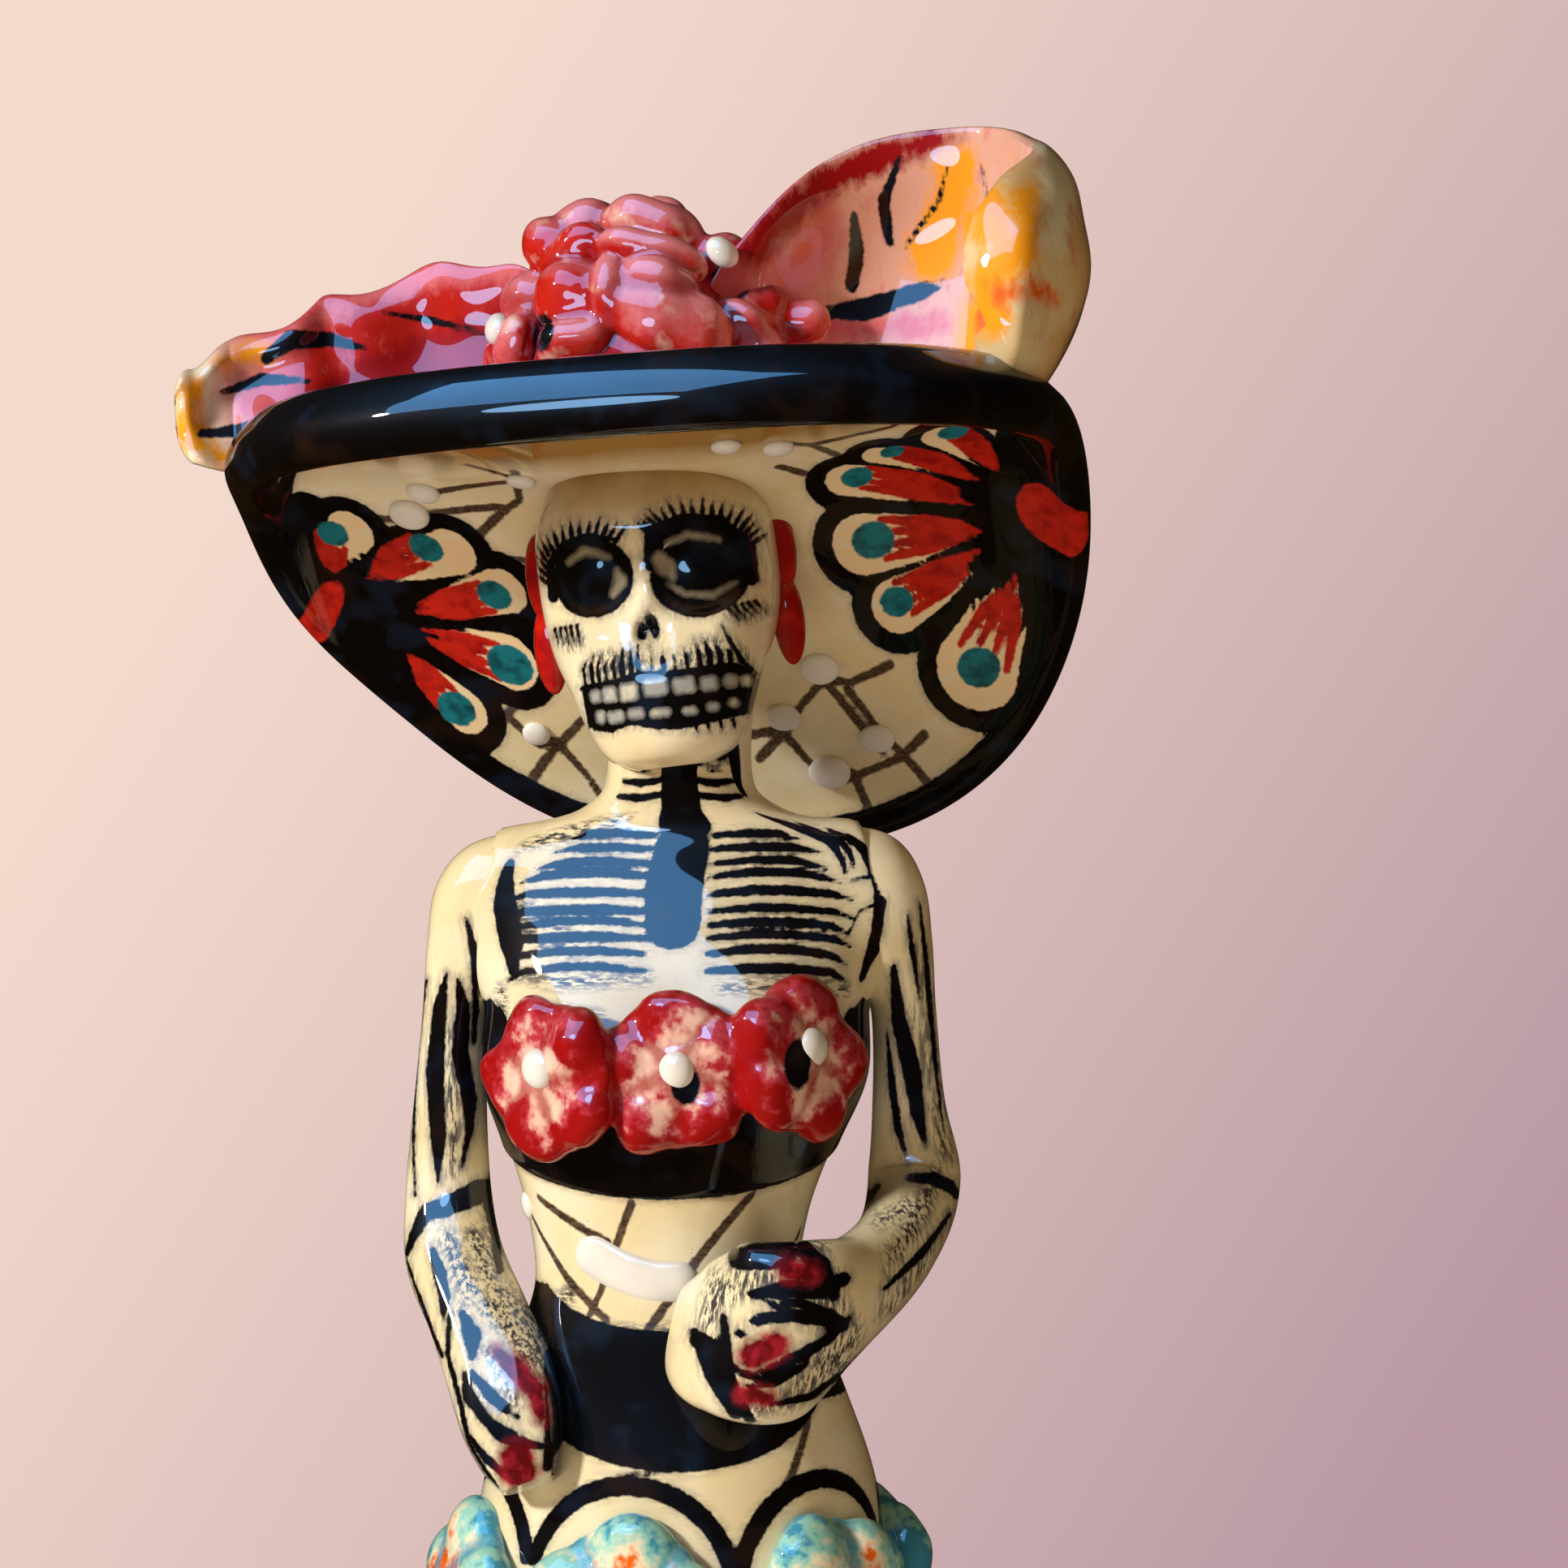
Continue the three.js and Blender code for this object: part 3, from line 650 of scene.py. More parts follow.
def crown_point(angle, rise):
    share = np.sqrt(np.maximum(0, 1 - rise ** CROWN_ROUNDNESS))
    x = CROWN_AT[0] + CROWN_HALF[0] * share * np.cos(angle)
    y = CROWN_AT[1] + CROWN_HALF[1] * share * np.sin(angle)
    base = brim_height(x, y)
    return stacked(x, y, base + (CROWN_TOP - base) * rise)


def hat_point(angle, place):
    """A place on the hat, by the angle from her left and the place along the skin."""
    under = np.clip(place, BRIM_FROM, BRIM_TO)
    below = brim_middle(angle, under) - brim_normal(angle, under) * brim_half(angle, under)[:, None]
    turn = (np.clip(place - BRIM_TO, 0, 1) - 0.5) * math.pi
    one = np.ones_like(angle)
    outward = unit(brim_middle(angle, one) - brim_middle(angle, one - STEP))
    start = brim_middle(angle, one * BRIM_TO + (1 - BRIM_TO) * np.cos(turn))
    round_it = brim_normal(angle, one) * np.sin(turn)[:, None] + outward * np.cos(turn)[:, None]
    edge = start + round_it * brim_half(angle, one)[:, None]
    back = np.clip(place - 1 - BRIM_TO, 0, 1) / BRIM_TO
    foot = crown_point(angle, np.zeros_like(angle))
    rim = brim_middle(angle, one * BRIM_TO)
    flat = rim + (foot - rim) * np.clip(back, 0, 1)[:, None]
    way = np.arctan2(flat[:, 1], flat[:, 0])
    out = np.minimum(BRIM_TO, np.hypot(flat[:, 0], flat[:, 1]) / edge_reach(way))
    above = brim_middle(way, out) + brim_normal(way, out) * brim_half(way, out)[:, None]
    dome = crown_point(angle, np.clip(place - 3, 0, 1))
    parts = [place < BRIM_TO, place < 1 + BRIM_TO, place < 3]
    return np.select([part[:, None] for part in parts], [below, edge, above], dome)


def hat_skin(around, along):
    place, = at_stations(HAT_STATIONS, along)
    return moved(HAT, hat_point(around * 2 * math.pi, place))


hat_mesh = meshed("lady_hat", skin(around=440, along=200, shape=hat_skin))
print("the hat has", len(hat_mesh.vertices), "vertices")

# %% [markdown]
# ## Flowers and plumes
# The flowers are balls of clay pressed side by side round a middle, and the glaze has run their edges
# together. Five balls for the petals and a flat one under them are enough. A voxel remesh joins them and a
# few rounds of smoothing round the creases, which booleans would leave sharp. Soft waves knead them.

# %% A cluster of flowers
PETALS = 5
# Sizes of a petal and of the flat ball under them, as shares of the flower's width.
PETAL = {"out": 0.29, "long": 0.22, "wide": 0.235, "thick": 0.15, "rise": 0.015}
BASE = {"wide": 0.455, "thick": 0.155}
FINE, FINEST = (28, 18), (40, 28)  # segments of balls that are seen from close by


def ball(clay, place, sizes, segments=(20, 14)):
    matrix = Matrix.Scale(MM, 4) @ place @ Matrix.Diagonal((*sizes, 1))
    bmesh.ops.create_uvsphere(clay, u_segments=segments[0], v_segments=segments[1], radius=1, matrix=matrix)


def facing(centre, direction):
    """A frame whose Z looks along a direction."""
    turn = Vector((0, 0, 1)).rotation_difference(Vector(direction))
    return Matrix.Translation(Vector(centre)) @ turn.to_matrix().to_4x4()


def petal_turns(turn):
    return [turn + petal * 2 * math.pi / PETALS for petal in range(PETALS)]


def flower(clay, place, width, turn):
    ball(clay, place, (BASE["wide"] * width, BASE["wide"] * width, BASE["thick"] * width))
    for angle in petal_turns(turn):
        around = Matrix.Rotation(angle, 4, "Z")
        spot = Matrix.Translation((PETAL["out"] * width, 0, PETAL["rise"] * width))
        ball(clay, place @ around @ spot, [PETAL[side] * width for side in ("long", "wide", "thick")])


chance = np.random.default_rng(11)
KNEADING = 12  # how many soft waves run through each other
WAVE_STARTS = 6.3  # a wave starts anywhere in about a whole turn


def kneaded(mesh, size, depth):
    """Uneven all over, as clay is where fingers pressed it."""
    places = places_of(mesh)
    waves = 0
    for _ in range(KNEADING):
        waves = waves + np.sin(places @ chance.normal(0, 1, 3) / size + chance.uniform(0, WAVE_STARTS))
    depths = waves * depth / KNEADING ** 0.5
    move_to(mesh, places + vectors_of(mesh, "normal") * depths[:, None])
    return mesh


def melted(name, clay, voxel, rounds):
    """Clay balls that have run together."""
    source = bpy.data.objects.new(name, meshed(name, clay))
    bpy.context.collection.objects.link(source)
    melt = source.modifiers.new("melt", "REMESH")
    melt.mode = "VOXEL"
    melt.voxel_size = voxel * MM
    soften = source.modifiers.new("soften", "SMOOTH")
    soften.iterations = rounds
    graph = bpy.context.evaluated_depsgraph_get()
    mesh = bpy.data.meshes.new_from_object(source.evaluated_get(graph))
    bpy.data.objects.remove(source)
    return mesh


print("a petal is", 2 * PETAL["long"], "of its flower's width long")

# %% Places of the flowers
BODICE_WIDTH, SKIRT_WIDTH, HAT_FLOWER_WIDTH = 20.5, 25, 21
SKIRT_TURN = -0.24  # the ring's first flower is a little to her right
FLOWER_STEP = math.pi / 3  # six flowers in the ring round the thighs
# Rows are [angle from the front, height, turn].
BODICE_FLOWERS = [[-0.64, 201.4, 0], [0.02, 202, 0.37], [0.67, 203.6, 0.74]]
SKIRT_FLOWERS = [[index * FLOWER_STEP + SKIRT_TURN, 137.5, index * 0.3] for index in range(6)]
# Rows are [angle, rise up the crown, turn, share of the full width].
HAT_FLOWERS = [
    [-2.9, 0.5, 0.3, 0.9],
    [0.1, 0.55, 0.1, 0.9],
    [1.1, 0.6, 0.5, 0.9],
    [2.2, 0.6, 0.2, 0.95],
    [1.65, 0.9, 0.2, 0.9],
]
# The flowers in front have run together into lumps.
# Rows are [across, up, half width, half height, how pink].
HAT_LUMPS = [
    [-16, 303, 3.2, 4, 0.2],
    [-11.8, 305.2, 4.4, 3.4, 0.9],
    [-12.6, 301.2, 5.2, 3, 0],
    [-3.3, 305, 6.4, 3.6, 0.8],
    [-3.3, 300.6, 6.8, 2.6, 0.9],
    [5, 300.6, 3.6, 3.6, 0.1],
    [-2.6, 297, 4.8, 3.2, 1],
    [-18.3, 296.4, 3.4, 4, 0.9],
    [-12.9, 295.7, 4.4, 5, 0],
    [-20.6, 289.2, 3.8, 3, 0],
    [-12.9, 290.2, 4.6, 3, 0.8],
    [-1.1, 292.6, 8, 4.4, 0.8],
    [10.4, 294.3, 3.9, 4.4, 0],
    [7.6, 291.2, 4.8, 2.4, 0.9],
    [14.4, 292.9, 2.8, 3, 0.6],
    [-8.3, 296, 2.6, 5, 0.9],
]
LUMP_THICK, LUMP_MORE = 4.1, 0.4  # half a lump's thickness, and how much fuller each is than its row says
# The angles and rises at which on_crown looks for a place.
CROWN_ANGLES, CROWN_RISES = np.linspace(-math.pi, 0, 49), np.linspace(0.05, 0.97, 24)


def surface_frame(shape, first, second, step):
    """A frame on a surface of two parameters, facing out of it."""
    def spot(one, other):
        return shape(np.array([float(one)]), np.array([float(other)]))[0]

    around = spot(first + STEP, second) - spot(first - STEP, second)
    up = spot(first, second + step) - spot(first, second - step)
    return facing(spot(first, second), np.cross(around, up))


def body_frame(angle, height):
    return surface_frame(body_point, angle, height, 1)


def hat_frame(angle, rise):
    return Matrix(HAT.tolist()) @ surface_frame(crown_point, angle, rise, STEP)


def on_crown(across, up):
    """A frame on the front of the crown, at a place as it is seen from the front."""
    angles, rises = (values.ravel() for values in np.meshgrid(CROWN_ANGLES, CROWN_RISES, indexing="ij"))
    spots = moved(HAT, crown_point(angles, rises))
    best = np.argmin(np.hypot(spots[:, 0] - across, spots[:, 2] - up))
    frame_here = hat_frame(angles[best], rises[best])
    frame_here.translation = (across, frame_here.translation.y, up)
    return frame_here


bodice_clay, skirt_clay, hat_clay = (bmesh.new() for _ in range(3))
for angle, height, turn in BODICE_FLOWERS:
    flower(bodice_clay, body_frame(angle, height), BODICE_WIDTH, turn)
for angle, height, turn in SKIRT_FLOWERS:
    flower(skirt_clay, body_frame(angle, height), SKIRT_WIDTH, turn)
for angle, rise, turn, share in HAT_FLOWERS:
    flower(hat_clay, hat_frame(angle, rise), HAT_FLOWER_WIDTH * share, turn)
lump_frames = [on_crown(*row[:2]) for row in HAT_LUMPS]
for frame_here, row in zip(lump_frames, HAT_LUMPS):
    ball(hat_clay, frame_here, (row[2] + LUMP_MORE, row[3] + LUMP_MORE, LUMP_THICK))
print("lumps on the hat:", len(lump_frames))

# %% The melted flowers
bodice_flowers_mesh = melted("bodice_flowers", bodice_clay, voxel=0.35, rounds=24)
skirt_flowers_mesh = melted("skirt_flowers", skirt_clay, voxel=0.5, rounds=8)
hat_flowers_mesh = melted("hat_flowers", hat_clay, voxel=0.35, rounds=16)
kneaded(bodice_flowers_mesh, size=1.8, depth=0.35)
kneaded(skirt_flowers_mesh, size=2.4, depth=0.3)
kneaded(hat_flowers_mesh, size=2.2, depth=0.35)
print("flowers of", len(bodice_flowers_mesh.vertices), len(skirt_flowers_mesh.vertices), "vertices")

# %% [markdown]
# The plumes are thick hollowed sheets of clay that stand on the brim. One is swept out past her right side,
# and the other curls up and round on her left. A sheet with a Solidify modifier would keep one thickness;
# a skin round the whole sheet lets the edge be fuller than the hollow, and closes its ends.

# %% The plumes
PLUME = {"sink": 1.5, "hollow": 0.16, "ruffles": 4, "lumps": 0.6, "tip": 0.09, "blunt": 0.3}
PLUME_SQUARE = {"rise": 0.8, "thick": 0.75}  # under 1 squares the section
PLUME_EDGE = {"at": 0.88, "spread": 0.13, "more": 0.35}  # the roll along its top edge
PLUME_LUMPS = [(23, 3), (9, -7)]  # waves along the plume and up it
# Rows are [x, y, lift of the foot, height of the top, lean, thickness]. X and Y are shares of the brim's
# half sizes.
SWEPT = [
    [-0.22, -0.04, 0, 27, 0.2, 4.4],
    [-0.43, -0.13, 0, 30, 0.4, 4.6],
    [-0.6, -0.19, 0, 29.5, 0.55, 4.8],
    [-0.76, -0.26, 0, 27, 0.6, 5.2],
    [-0.9, -0.3, 0.5, 23, 0.6, 6],
    [-1.03, -0.35, 2, 18.5, 0.45, 6.6],
    [-1.11, -0.38, 3.5, 14.5, 0.3, 6.6],
]
CURLED = [
    [0.852, -0.43, 0, 22, -0.1, 5],
    [0.894, -0.34, 0, 27.5, 0, 5.3],
    [0.9, -0.19, 0, 32.5, 0.1, 5.2],
    [0.83, -0.05, 0, 37, 0.2, 5.8],
    [0.68, 0.04, 0, 41.2, 0.25, 4.6],
    [0.47, 0.02, 0, 38.3, 0.2, 4.4],
    [0.25, -0.06, 0, 27.5, 0.1, 4.4],
    [0.1, -0.11, 0, 18, 0.1, 4.4],
]


def plume_skin(rows, ruffle):
    table = numbered(rows)

    def shape(around, along):
        share, cap = with_ends(along, 0.03)
        x, y, lift, top, lean, thickness = read(table, share)
        ahead, behind = read(table, share + STEP), read(table, share - STEP)
        way = unit(stacked((ahead - behind)[0] * BRIM_HALF[0], (ahead - behind)[1] * BRIM_HALF[1], 0))
        out = stacked(-way[:, 1], way[:, 0], 0)
        x, y = x * BRIM_HALF[0], y * BRIM_HALF[1]
        foot = brim_height(x, y) + lift - PLUME["sink"]
        tall = top - foot + ruffle * np.cos(share * PLUME["ruffles"] * 2 * math.pi)
        up = unit(stacked(0, 0, 1) - out * lean[:, None])
        turn = around * 2 * math.pi
        rise = 0.5 + 0.5 * signed_power(np.sin(turn), PLUME_SQUARE["rise"]) * cap
        hollow = PLUME["hollow"] * tall * (1 - (2 * rise - 1) ** 2)
        rolled = 1 + PLUME_EDGE["more"] * bell(rise - PLUME_EDGE["at"], 0, PLUME_EDGE["spread"], 1)
        lumps = PLUME["lumps"] * cap
        for along_it, up_it in PLUME_LUMPS:
            lumps = lumps * np.sin(share * along_it + up_it * rise)
        to_end = np.clip(np.minimum(share, 1 - share) / PLUME["tip"], 0, 1)
        rounded = PLUME["blunt"] + (1 - PLUME["blunt"]) * np.sqrt(1 - (1 - to_end) ** 2)
        flat = signed_power(np.cos(turn), PLUME_SQUARE["thick"]) * cap
        thick = thickness / 2 * flat * rolled * rounded + lumps
        rise = 0.5 + (rise - 0.5) * rounded
        spot = stacked(x, y, foot) + up * (rise * tall)[:, None] + out * (thick - hollow)[:, None]
        return moved(HAT, spot)

    return shape


swept_mesh = meshed("swept_plume", skin(around=120, along=200, shape=plume_skin(SWEPT, ruffle=0.9)))
curled_mesh = meshed("curled_plume", skin(around=140, along=220, shape=plume_skin(CURLED, ruffle=0)))
print("plumes of", len(swept_mesh.vertices), "and", len(curled_mesh.vertices), "vertices")

# %% [markdown]
# Each earring is two long beads that overlap a little, pressed onto the side of the skull while it was soft.
# Two scaled balls make one, and no join is needed where they meet inside each other.

# %% Earrings
EAR = {"height": -16.5, "angle": 0.16}  # a little behind the middle of the skull's side
EARRING = {"long": 18, "wide": 4, "bead": 0.31}


def earrings():
    clay = bmesh.new()
    for side in (-1, 1):
        angle = EAR["angle"] if side > 0 else math.pi - EAR["angle"]
        ear = skull_point(np.array([angle]), np.array([EAR["height"]]))[0]
        for drop in (EARRING["long"] / 4, -EARRING["long"] / 4):
            spot = Matrix.Translation((ear[0] + side * EARRING["wide"] / 8, ear[1], ear[2] + drop))
            sizes = (EARRING["wide"] / 2, EARRING["wide"] / 2, EARRING["long"] * EARRING["bead"])
            ball(clay, Matrix(HEAD.tolist()) @ spot, sizes, FINEST)
    return meshed("lady_earrings", clay)


earrings_mesh = earrings()
print("earrings of", len(earrings_mesh.vertices), "vertices")

# %% [markdown]
# ## Brush strokes
# The potter draws in slip with a soft brush before the glaze: a stroke starts thin, swells under pressure
# and tapers off. Here each stroke is a path with half widths, and every vertex keeps how far it lies from
# the nearest stroke of each colour. The shader cuts that distance at 0, so edges stay crisp between
# vertices, where a painted texture or vertex colours would blur them.

# %% Strokes, ovals and their layers
PAINT_REACH = 4  # distances beyond this don't matter


def stroke(spots, halves, path):
    """How far places lie outside a brush stroke; under 0 is inside it."""
    path = np.array(path, float)
    ends = np.linspace(0, 1, len(path))
    half = np.interp(ends, np.linspace(0, 1, len(halves)), halves)
    nearest = np.full(len(spots), float(PAINT_REACH))
    for index in range(len(path) - 1):
        way = path[index + 1] - path[index]
        share = np.clip((spots - path[index]) @ way / (way @ way), 0, 1)
        away = np.linalg.norm(spots - path[index] - share[:, None] * way, axis=1)
        nearest = np.minimum(nearest, away - half[index] - (half[index + 1] - half[index]) * share)
    return nearest


def strokes(spots, rows):
    return np.minimum.reduce([stroke(spots, halves, path) for halves, *path in rows])


def oval(spots, centre, half, turn=0.0):
    cosine, sine = math.cos(turn), math.sin(turn)
    local = (spots - np.array(centre)) @ np.array([[cosine, -sine], [sine, cosine]])
    return (np.linalg.norm(local / np.array(half), axis=1) - 1) * min(half)


def lay(mesh, colour, *distances):
    """Keeps a colour's distances on the mesh."""
    nearest = np.clip(np.minimum.reduce(distances), -PAINT_REACH, PAINT_REACH)
    layer = mesh.attributes.new(colour, "FLOAT", "POINT")
    layer.data.foreach_set("value", nearest)


dice = np.random.default_rng(5)
print("a spot 1 mm off a stroke's end:", stroke(np.array([[2.0, 0]]), [0.5, 0.5], [[0, 0], [1, 0]])[0])

# %% [markdown]
# ## Painting the body
# The pattern is drawn round the body by angle and height: ribs and a breastbone over the chest, a black
# bodice, crossing brown lines on the waist, a black sash, and arcs over the hip flowers. What the
# photograph shows in front is repeated behind, round the spine.

# %% Strokes of the body
ROUND = 20  # millimetres for each radian round the body, which is true at the chest
# Rows are [half widths, places...], each place round from the front and up.
BODY_BLACK = [
    [(5.2, 4.8, 3.9, 2.8, 2.9, 2.9, 2.7), (0.4, 244), (0.2, 236.4), (0, 233.2), (-0.2, 231), (-0.4, 227),
     (-0.6, 223), (-0.5, 219.2)],
    # By the armpits: partly black straps, partly painted shade where the arms meet the chest.
    [(0.8, 1.9, 2.1, 1), (-20.6, 226.5), (-20.4, 221.5), (-19.6, 217), (-19.4, 214)],
    [(0.9, 1.9, 1.5, 0.8), (21.5, 229.5), (25, 224), (25.2, 218), (24.4, 213)],
    # Under the chin, on her left of the neck: painted shadow of the chin.
    [(1.8, 2.4, 1.2), (17, 243), (18, 239), (18.4, 236)],
    [(1.1, 0.8, 0.3), (14.6, 231.8), (17.4, 229.6), (18.8, 225.6)],
    [(0.8, 0.7, 0.3), (17.4, 231), (19.4, 229), (20, 226.4)],
    [(0.7, 0.6, 0.3), (20.2, 230.4), (21.8, 228.6), (22, 226.8)],
    [(0.2, 0.25, 0.2), (19.6, 224.6), (22, 225), (24.6, 225.4)],
    [(0.2, 0.2, 0.15), (19.8, 217.8), (21.4, 221), (24, 221.8)],
]
NECK_BANDS = [242.5, 240.6, 238.8, 237, 235.2]
RIB_LEVELS = [230.3, 228.7, 226.9, 225.4, 223.3, 221.2, 219.6, 218, 216.2, 214.2]
WAIST_BROWN = [
    [(0.5, 0.6), (-21.4, 186.3), (-8.6, 181.3)],
    [(0.6, 0.5), (-4.6, 186.2), (-12.6, 170.5)],
    [(0.6, 0.7, 0.5), (12, 187), (4, 178.5), (-4.6, 169)],
    [(0.4, 0.6, 0.5), (-26, 184), (-17, 177), (-8.6, 172)],
    [(0.5, 0.5), (17.2, 160.6), (8, 147.2)],
    [(0.5, 0.5), (26, 182), (14, 170)],
]
BODY_DRY = [
    [(0.6, 1, 0.7), (-20, 213.4), (-12, 212.6), (-3, 213.2)],
    [(0.7, 1.1, 0.8), (5, 212), (12, 212.4), (21, 211.4)],
    [(0.9, 1.5, 0.8), (-20, 229), (-15, 230.6), (-9, 232)],
    [(1, 1.6), (-21.5, 207), (-22.5, 210.5)],
    [(1.8, 2.6, 1.6), (-17.6, 220.6), (-14, 218.6), (-11, 217)],
    [(0.6, 0.9), (-17, 209.6), (-8, 208.6)],
    [(1.5, 2.2, 1), (-16, 174.6), (-19, 172.4), (-23, 172)],
    [(0.5, 0.7), (-9, 170.8), (9, 171.4)],
]
# Levels of the black areas. They rise towards the sides.
BODICE_TOP = {"level": 203.5, "rise": 6.5, "sides": (0.75, 1.2), "wavy": 0.5, "waves": (23, 9)}
SASH = {"low": (154.6, 7.4, 1), "high": (171, 4, 1.2)}  # level in front, rise, and where the rise ends
# Rows are [level of the middle, half width, half height, half the line's width, lowest, highest] of the
# arcs over and under the hip flowers, and of the scallops over the hem.
ARCS = [[138.5, 13.6, 14.5, 1.1, 143, 300], [136, 15, 16, 0.9, 0, 128], [8, 22, 26, 1.2, 8, 300]]
HEM_BAND = {"level": 4, "half": 4.5}
VINE = {"swing": 5, "bend": 14, "half": 0.6, "from": 36, "to": 118}
print("black strokes on the body:", len(BODY_BLACK))


# %% The painted body
def body_round(mesh):
    """The angle round the body, and the same angle folded so that the back repeats the front."""
    angle = (layer_of(mesh, AROUND) - 0.5) * 2 * math.pi
    return angle, np.where(np.abs(angle) > math.pi / 2, np.sign(angle) * math.pi - angle, angle)


def rib_rows():
    """Ribs on both sides, each a little different. Lower ones are longer and droop more."""
    rows = []
    for side in (-1, 1):
        for rib, up in enumerate(RIB_LEVELS):
            end = min(20.5, 13.5 + 1.6 * rib) + dice.uniform(-0.4, 0.6)
            droop = dice.uniform(0.3, 0.6) + 0.16 * rib
            thick = dice.uniform(0.85, 1.15)
            halves = (0.4 * thick, 0.62 * thick, 0.62 * thick, 0.5 * thick, 0.15)
            middle = up + dice.uniform(0, 0.4)
            spots = [(3.2, up - 0.2), (7.5, middle), (12, middle - 0.1)]
            spots += [(end * 0.85, up - droop * 0.3), (end, up - droop)]
            rows.append([halves, *((side * across, level) for across, level in spots)])
    return rows


def neck_rows():
    return [[(0.4, 0.55, 0.3), (side * 3, up), (side * 10, up - 0.5), (side * 17, up - 0.2)]
            for up in NECK_BANDS for side in (-1, 1)]


def sash_edge(folded, edge):
    level, rise, most = SASH[edge]
    return level + rise * np.minimum(most, folded ** 2)


def paint_body(mesh):
    angle, folded = body_round(mesh)
    height = places_of(mesh)[:, 2]
    spots = np.stack([folded * ROUND, height], axis=1)
    bodice_top = BODICE_TOP["level"] + BODICE_TOP["rise"] * ease(np.abs(angle), *BODICE_TOP["sides"])
    first, second = (np.sin(angle * waves) for waves in BODICE_TOP["waves"])
    bodice_top += BODICE_TOP["wavy"] * first * second
    bodice = np.maximum(bodice_edge(angle) - height, height - bodice_top)
    sash = np.maximum(sash_edge(folded, "low") - height, height - sash_edge(folded, "high"))
    flower = np.mod(angle - SKIRT_TURN + FLOWER_STEP / 2, FLOWER_STEP) - FLOWER_STEP / 2
    across = flower * read(BODY, height)[0]  # from the middle of the nearest hip flower
    near_flower = np.stack([across, height], axis=1)
    black = [strokes(spots, rows) for rows in (BODY_BLACK, rib_rows(), neck_rows())] + [bodice, sash]
    for middle, wide, tall, half, lowest, highest in ARCS:
        line = np.abs(oval(near_flower, (0, middle), (wide, tall))) - half
        black.append(np.maximum.reduce([line, lowest - height, height - highest]))
    black.append(np.abs(height - HEM_BAND["level"]) - HEM_BAND["half"])
    lay(mesh, "black", *black)
    vine = np.abs(across - VINE["swing"] * np.sin(height / VINE["bend"])) - VINE["half"]
    vine = np.maximum.reduce([vine, height - VINE["to"], VINE["from"] - height])
    lay(mesh, "brown", strokes(spots, WAIST_BROWN), vine)
    lay(mesh, "dry", strokes(spots, BODY_DRY))


paint_body(body_mesh)
print("body painted:", sorted(layer.name for layer in body_mesh.attributes if layer.domain == "POINT"))

# %% [markdown]
# ## Painting the arms
# The bones of the arms are long black strokes, with dry streaks beside them and red smudges on the hands.
# They are drawn as seen from the front, across and up, so a stroke also shows on the arm's back.

# %% Strokes of her right arm
RIGHT_ARM_BLACK = [
    [(0.2, 0.25, 0.2), (-31.2, 212.3), (-32.1, 206.4), (-32.7, 199.2), (-32.8, 191.2), (-32.4, 185.8)],
    [(0.2, 0.9, 1.2, 1, 0.2), (-28.5, 213.2), (-29.4, 209.1), (-30, 201), (-29.6, 193), (-29.5, 187.6)],
    [(0.2, 0.9, 1.1, 0.9, 0.5, 0.2), (-27.1, 212.7), (-26.5, 209.1), (-26.9, 203.3), (-25.8, 197.9),
     (-25.8, 193.9), (-26.7, 189.4)],
    # In the armpit: partly a black strap, partly painted shade between the arm and the chest.
    [(0.3, 0.6, 0.5, 0.3), (-26, 220), (-24.9, 215.4), (-24.9, 210.9), (-25.3, 204.6)],
    [(0.3, 0.5, 0.4), (-23.3, 193), (-23.1, 189.4), (-23.6, 184.9), (-22.4, 180.2), (-21.7, 177.3)],
    [(0.4, 0.6, 1, 1.2, 1.5), (-33.3, 179), (-32.5, 181.1), (-30.9, 184.1), (-28.7, 184.7), (-24.5, 186.4)],
    [(0.4, 0.9, 0.8, 0.2), (-30, 179.8), (-29, 177.3), (-28.2, 174.4), (-28.3, 171.9)],
    [(0.2, 0.4, 0.3), (-33.3, 178.1), (-31.5, 174), (-29.8, 170.3), (-28.3, 167.5)],
    [(0.3, 0.4, 0.3), (-27.5, 172.3), (-27.6, 167.9), (-25.8, 162.6), (-24.6, 157.7), (-21.3, 152.9)],
    [(0.5, 1.2, 0.5), (-25.9, 172.7), (-24.6, 170.2), (-24.5, 167.9)],
    [(0.4, 0.8, 0.7, 0.5, 0.3), (-25.3, 165.9), (-24.8, 163.5), (-22.3, 160.6), (-17.4, 158.1),
     (-14, 157.5)],
    [(0.3, 0.6, 0.4), (-24.6, 158.9), (-22.6, 156.4), (-19.2, 153.7)],
    [(0.5, 1, 1), (-15, 168), (-13.3, 160.6), (-13.9, 153.3)],
    [(0.4, 0.8, 0.5), (-24.6, 166.2), (-22, 163.6), (-19, 161.2)],
    [(0.4, 0.7, 0.4), (-23.4, 161.6), (-21, 159.2), (-18, 157.6)],
    [(0.4, 0.8, 0.6), (-15.6, 168), (-14.8, 161), (-15.2, 155.4)],
]
RIGHT_ARM_RED = [
    [(0.9, 1.6, 1.5, 1), (-21.7, 168.7), (-19.4, 166.7), (-16.9, 164.3), (-16, 161)],
    [(2.2, 2.5), (-18.9, 156.6), (-18.7, 155.2)],
]
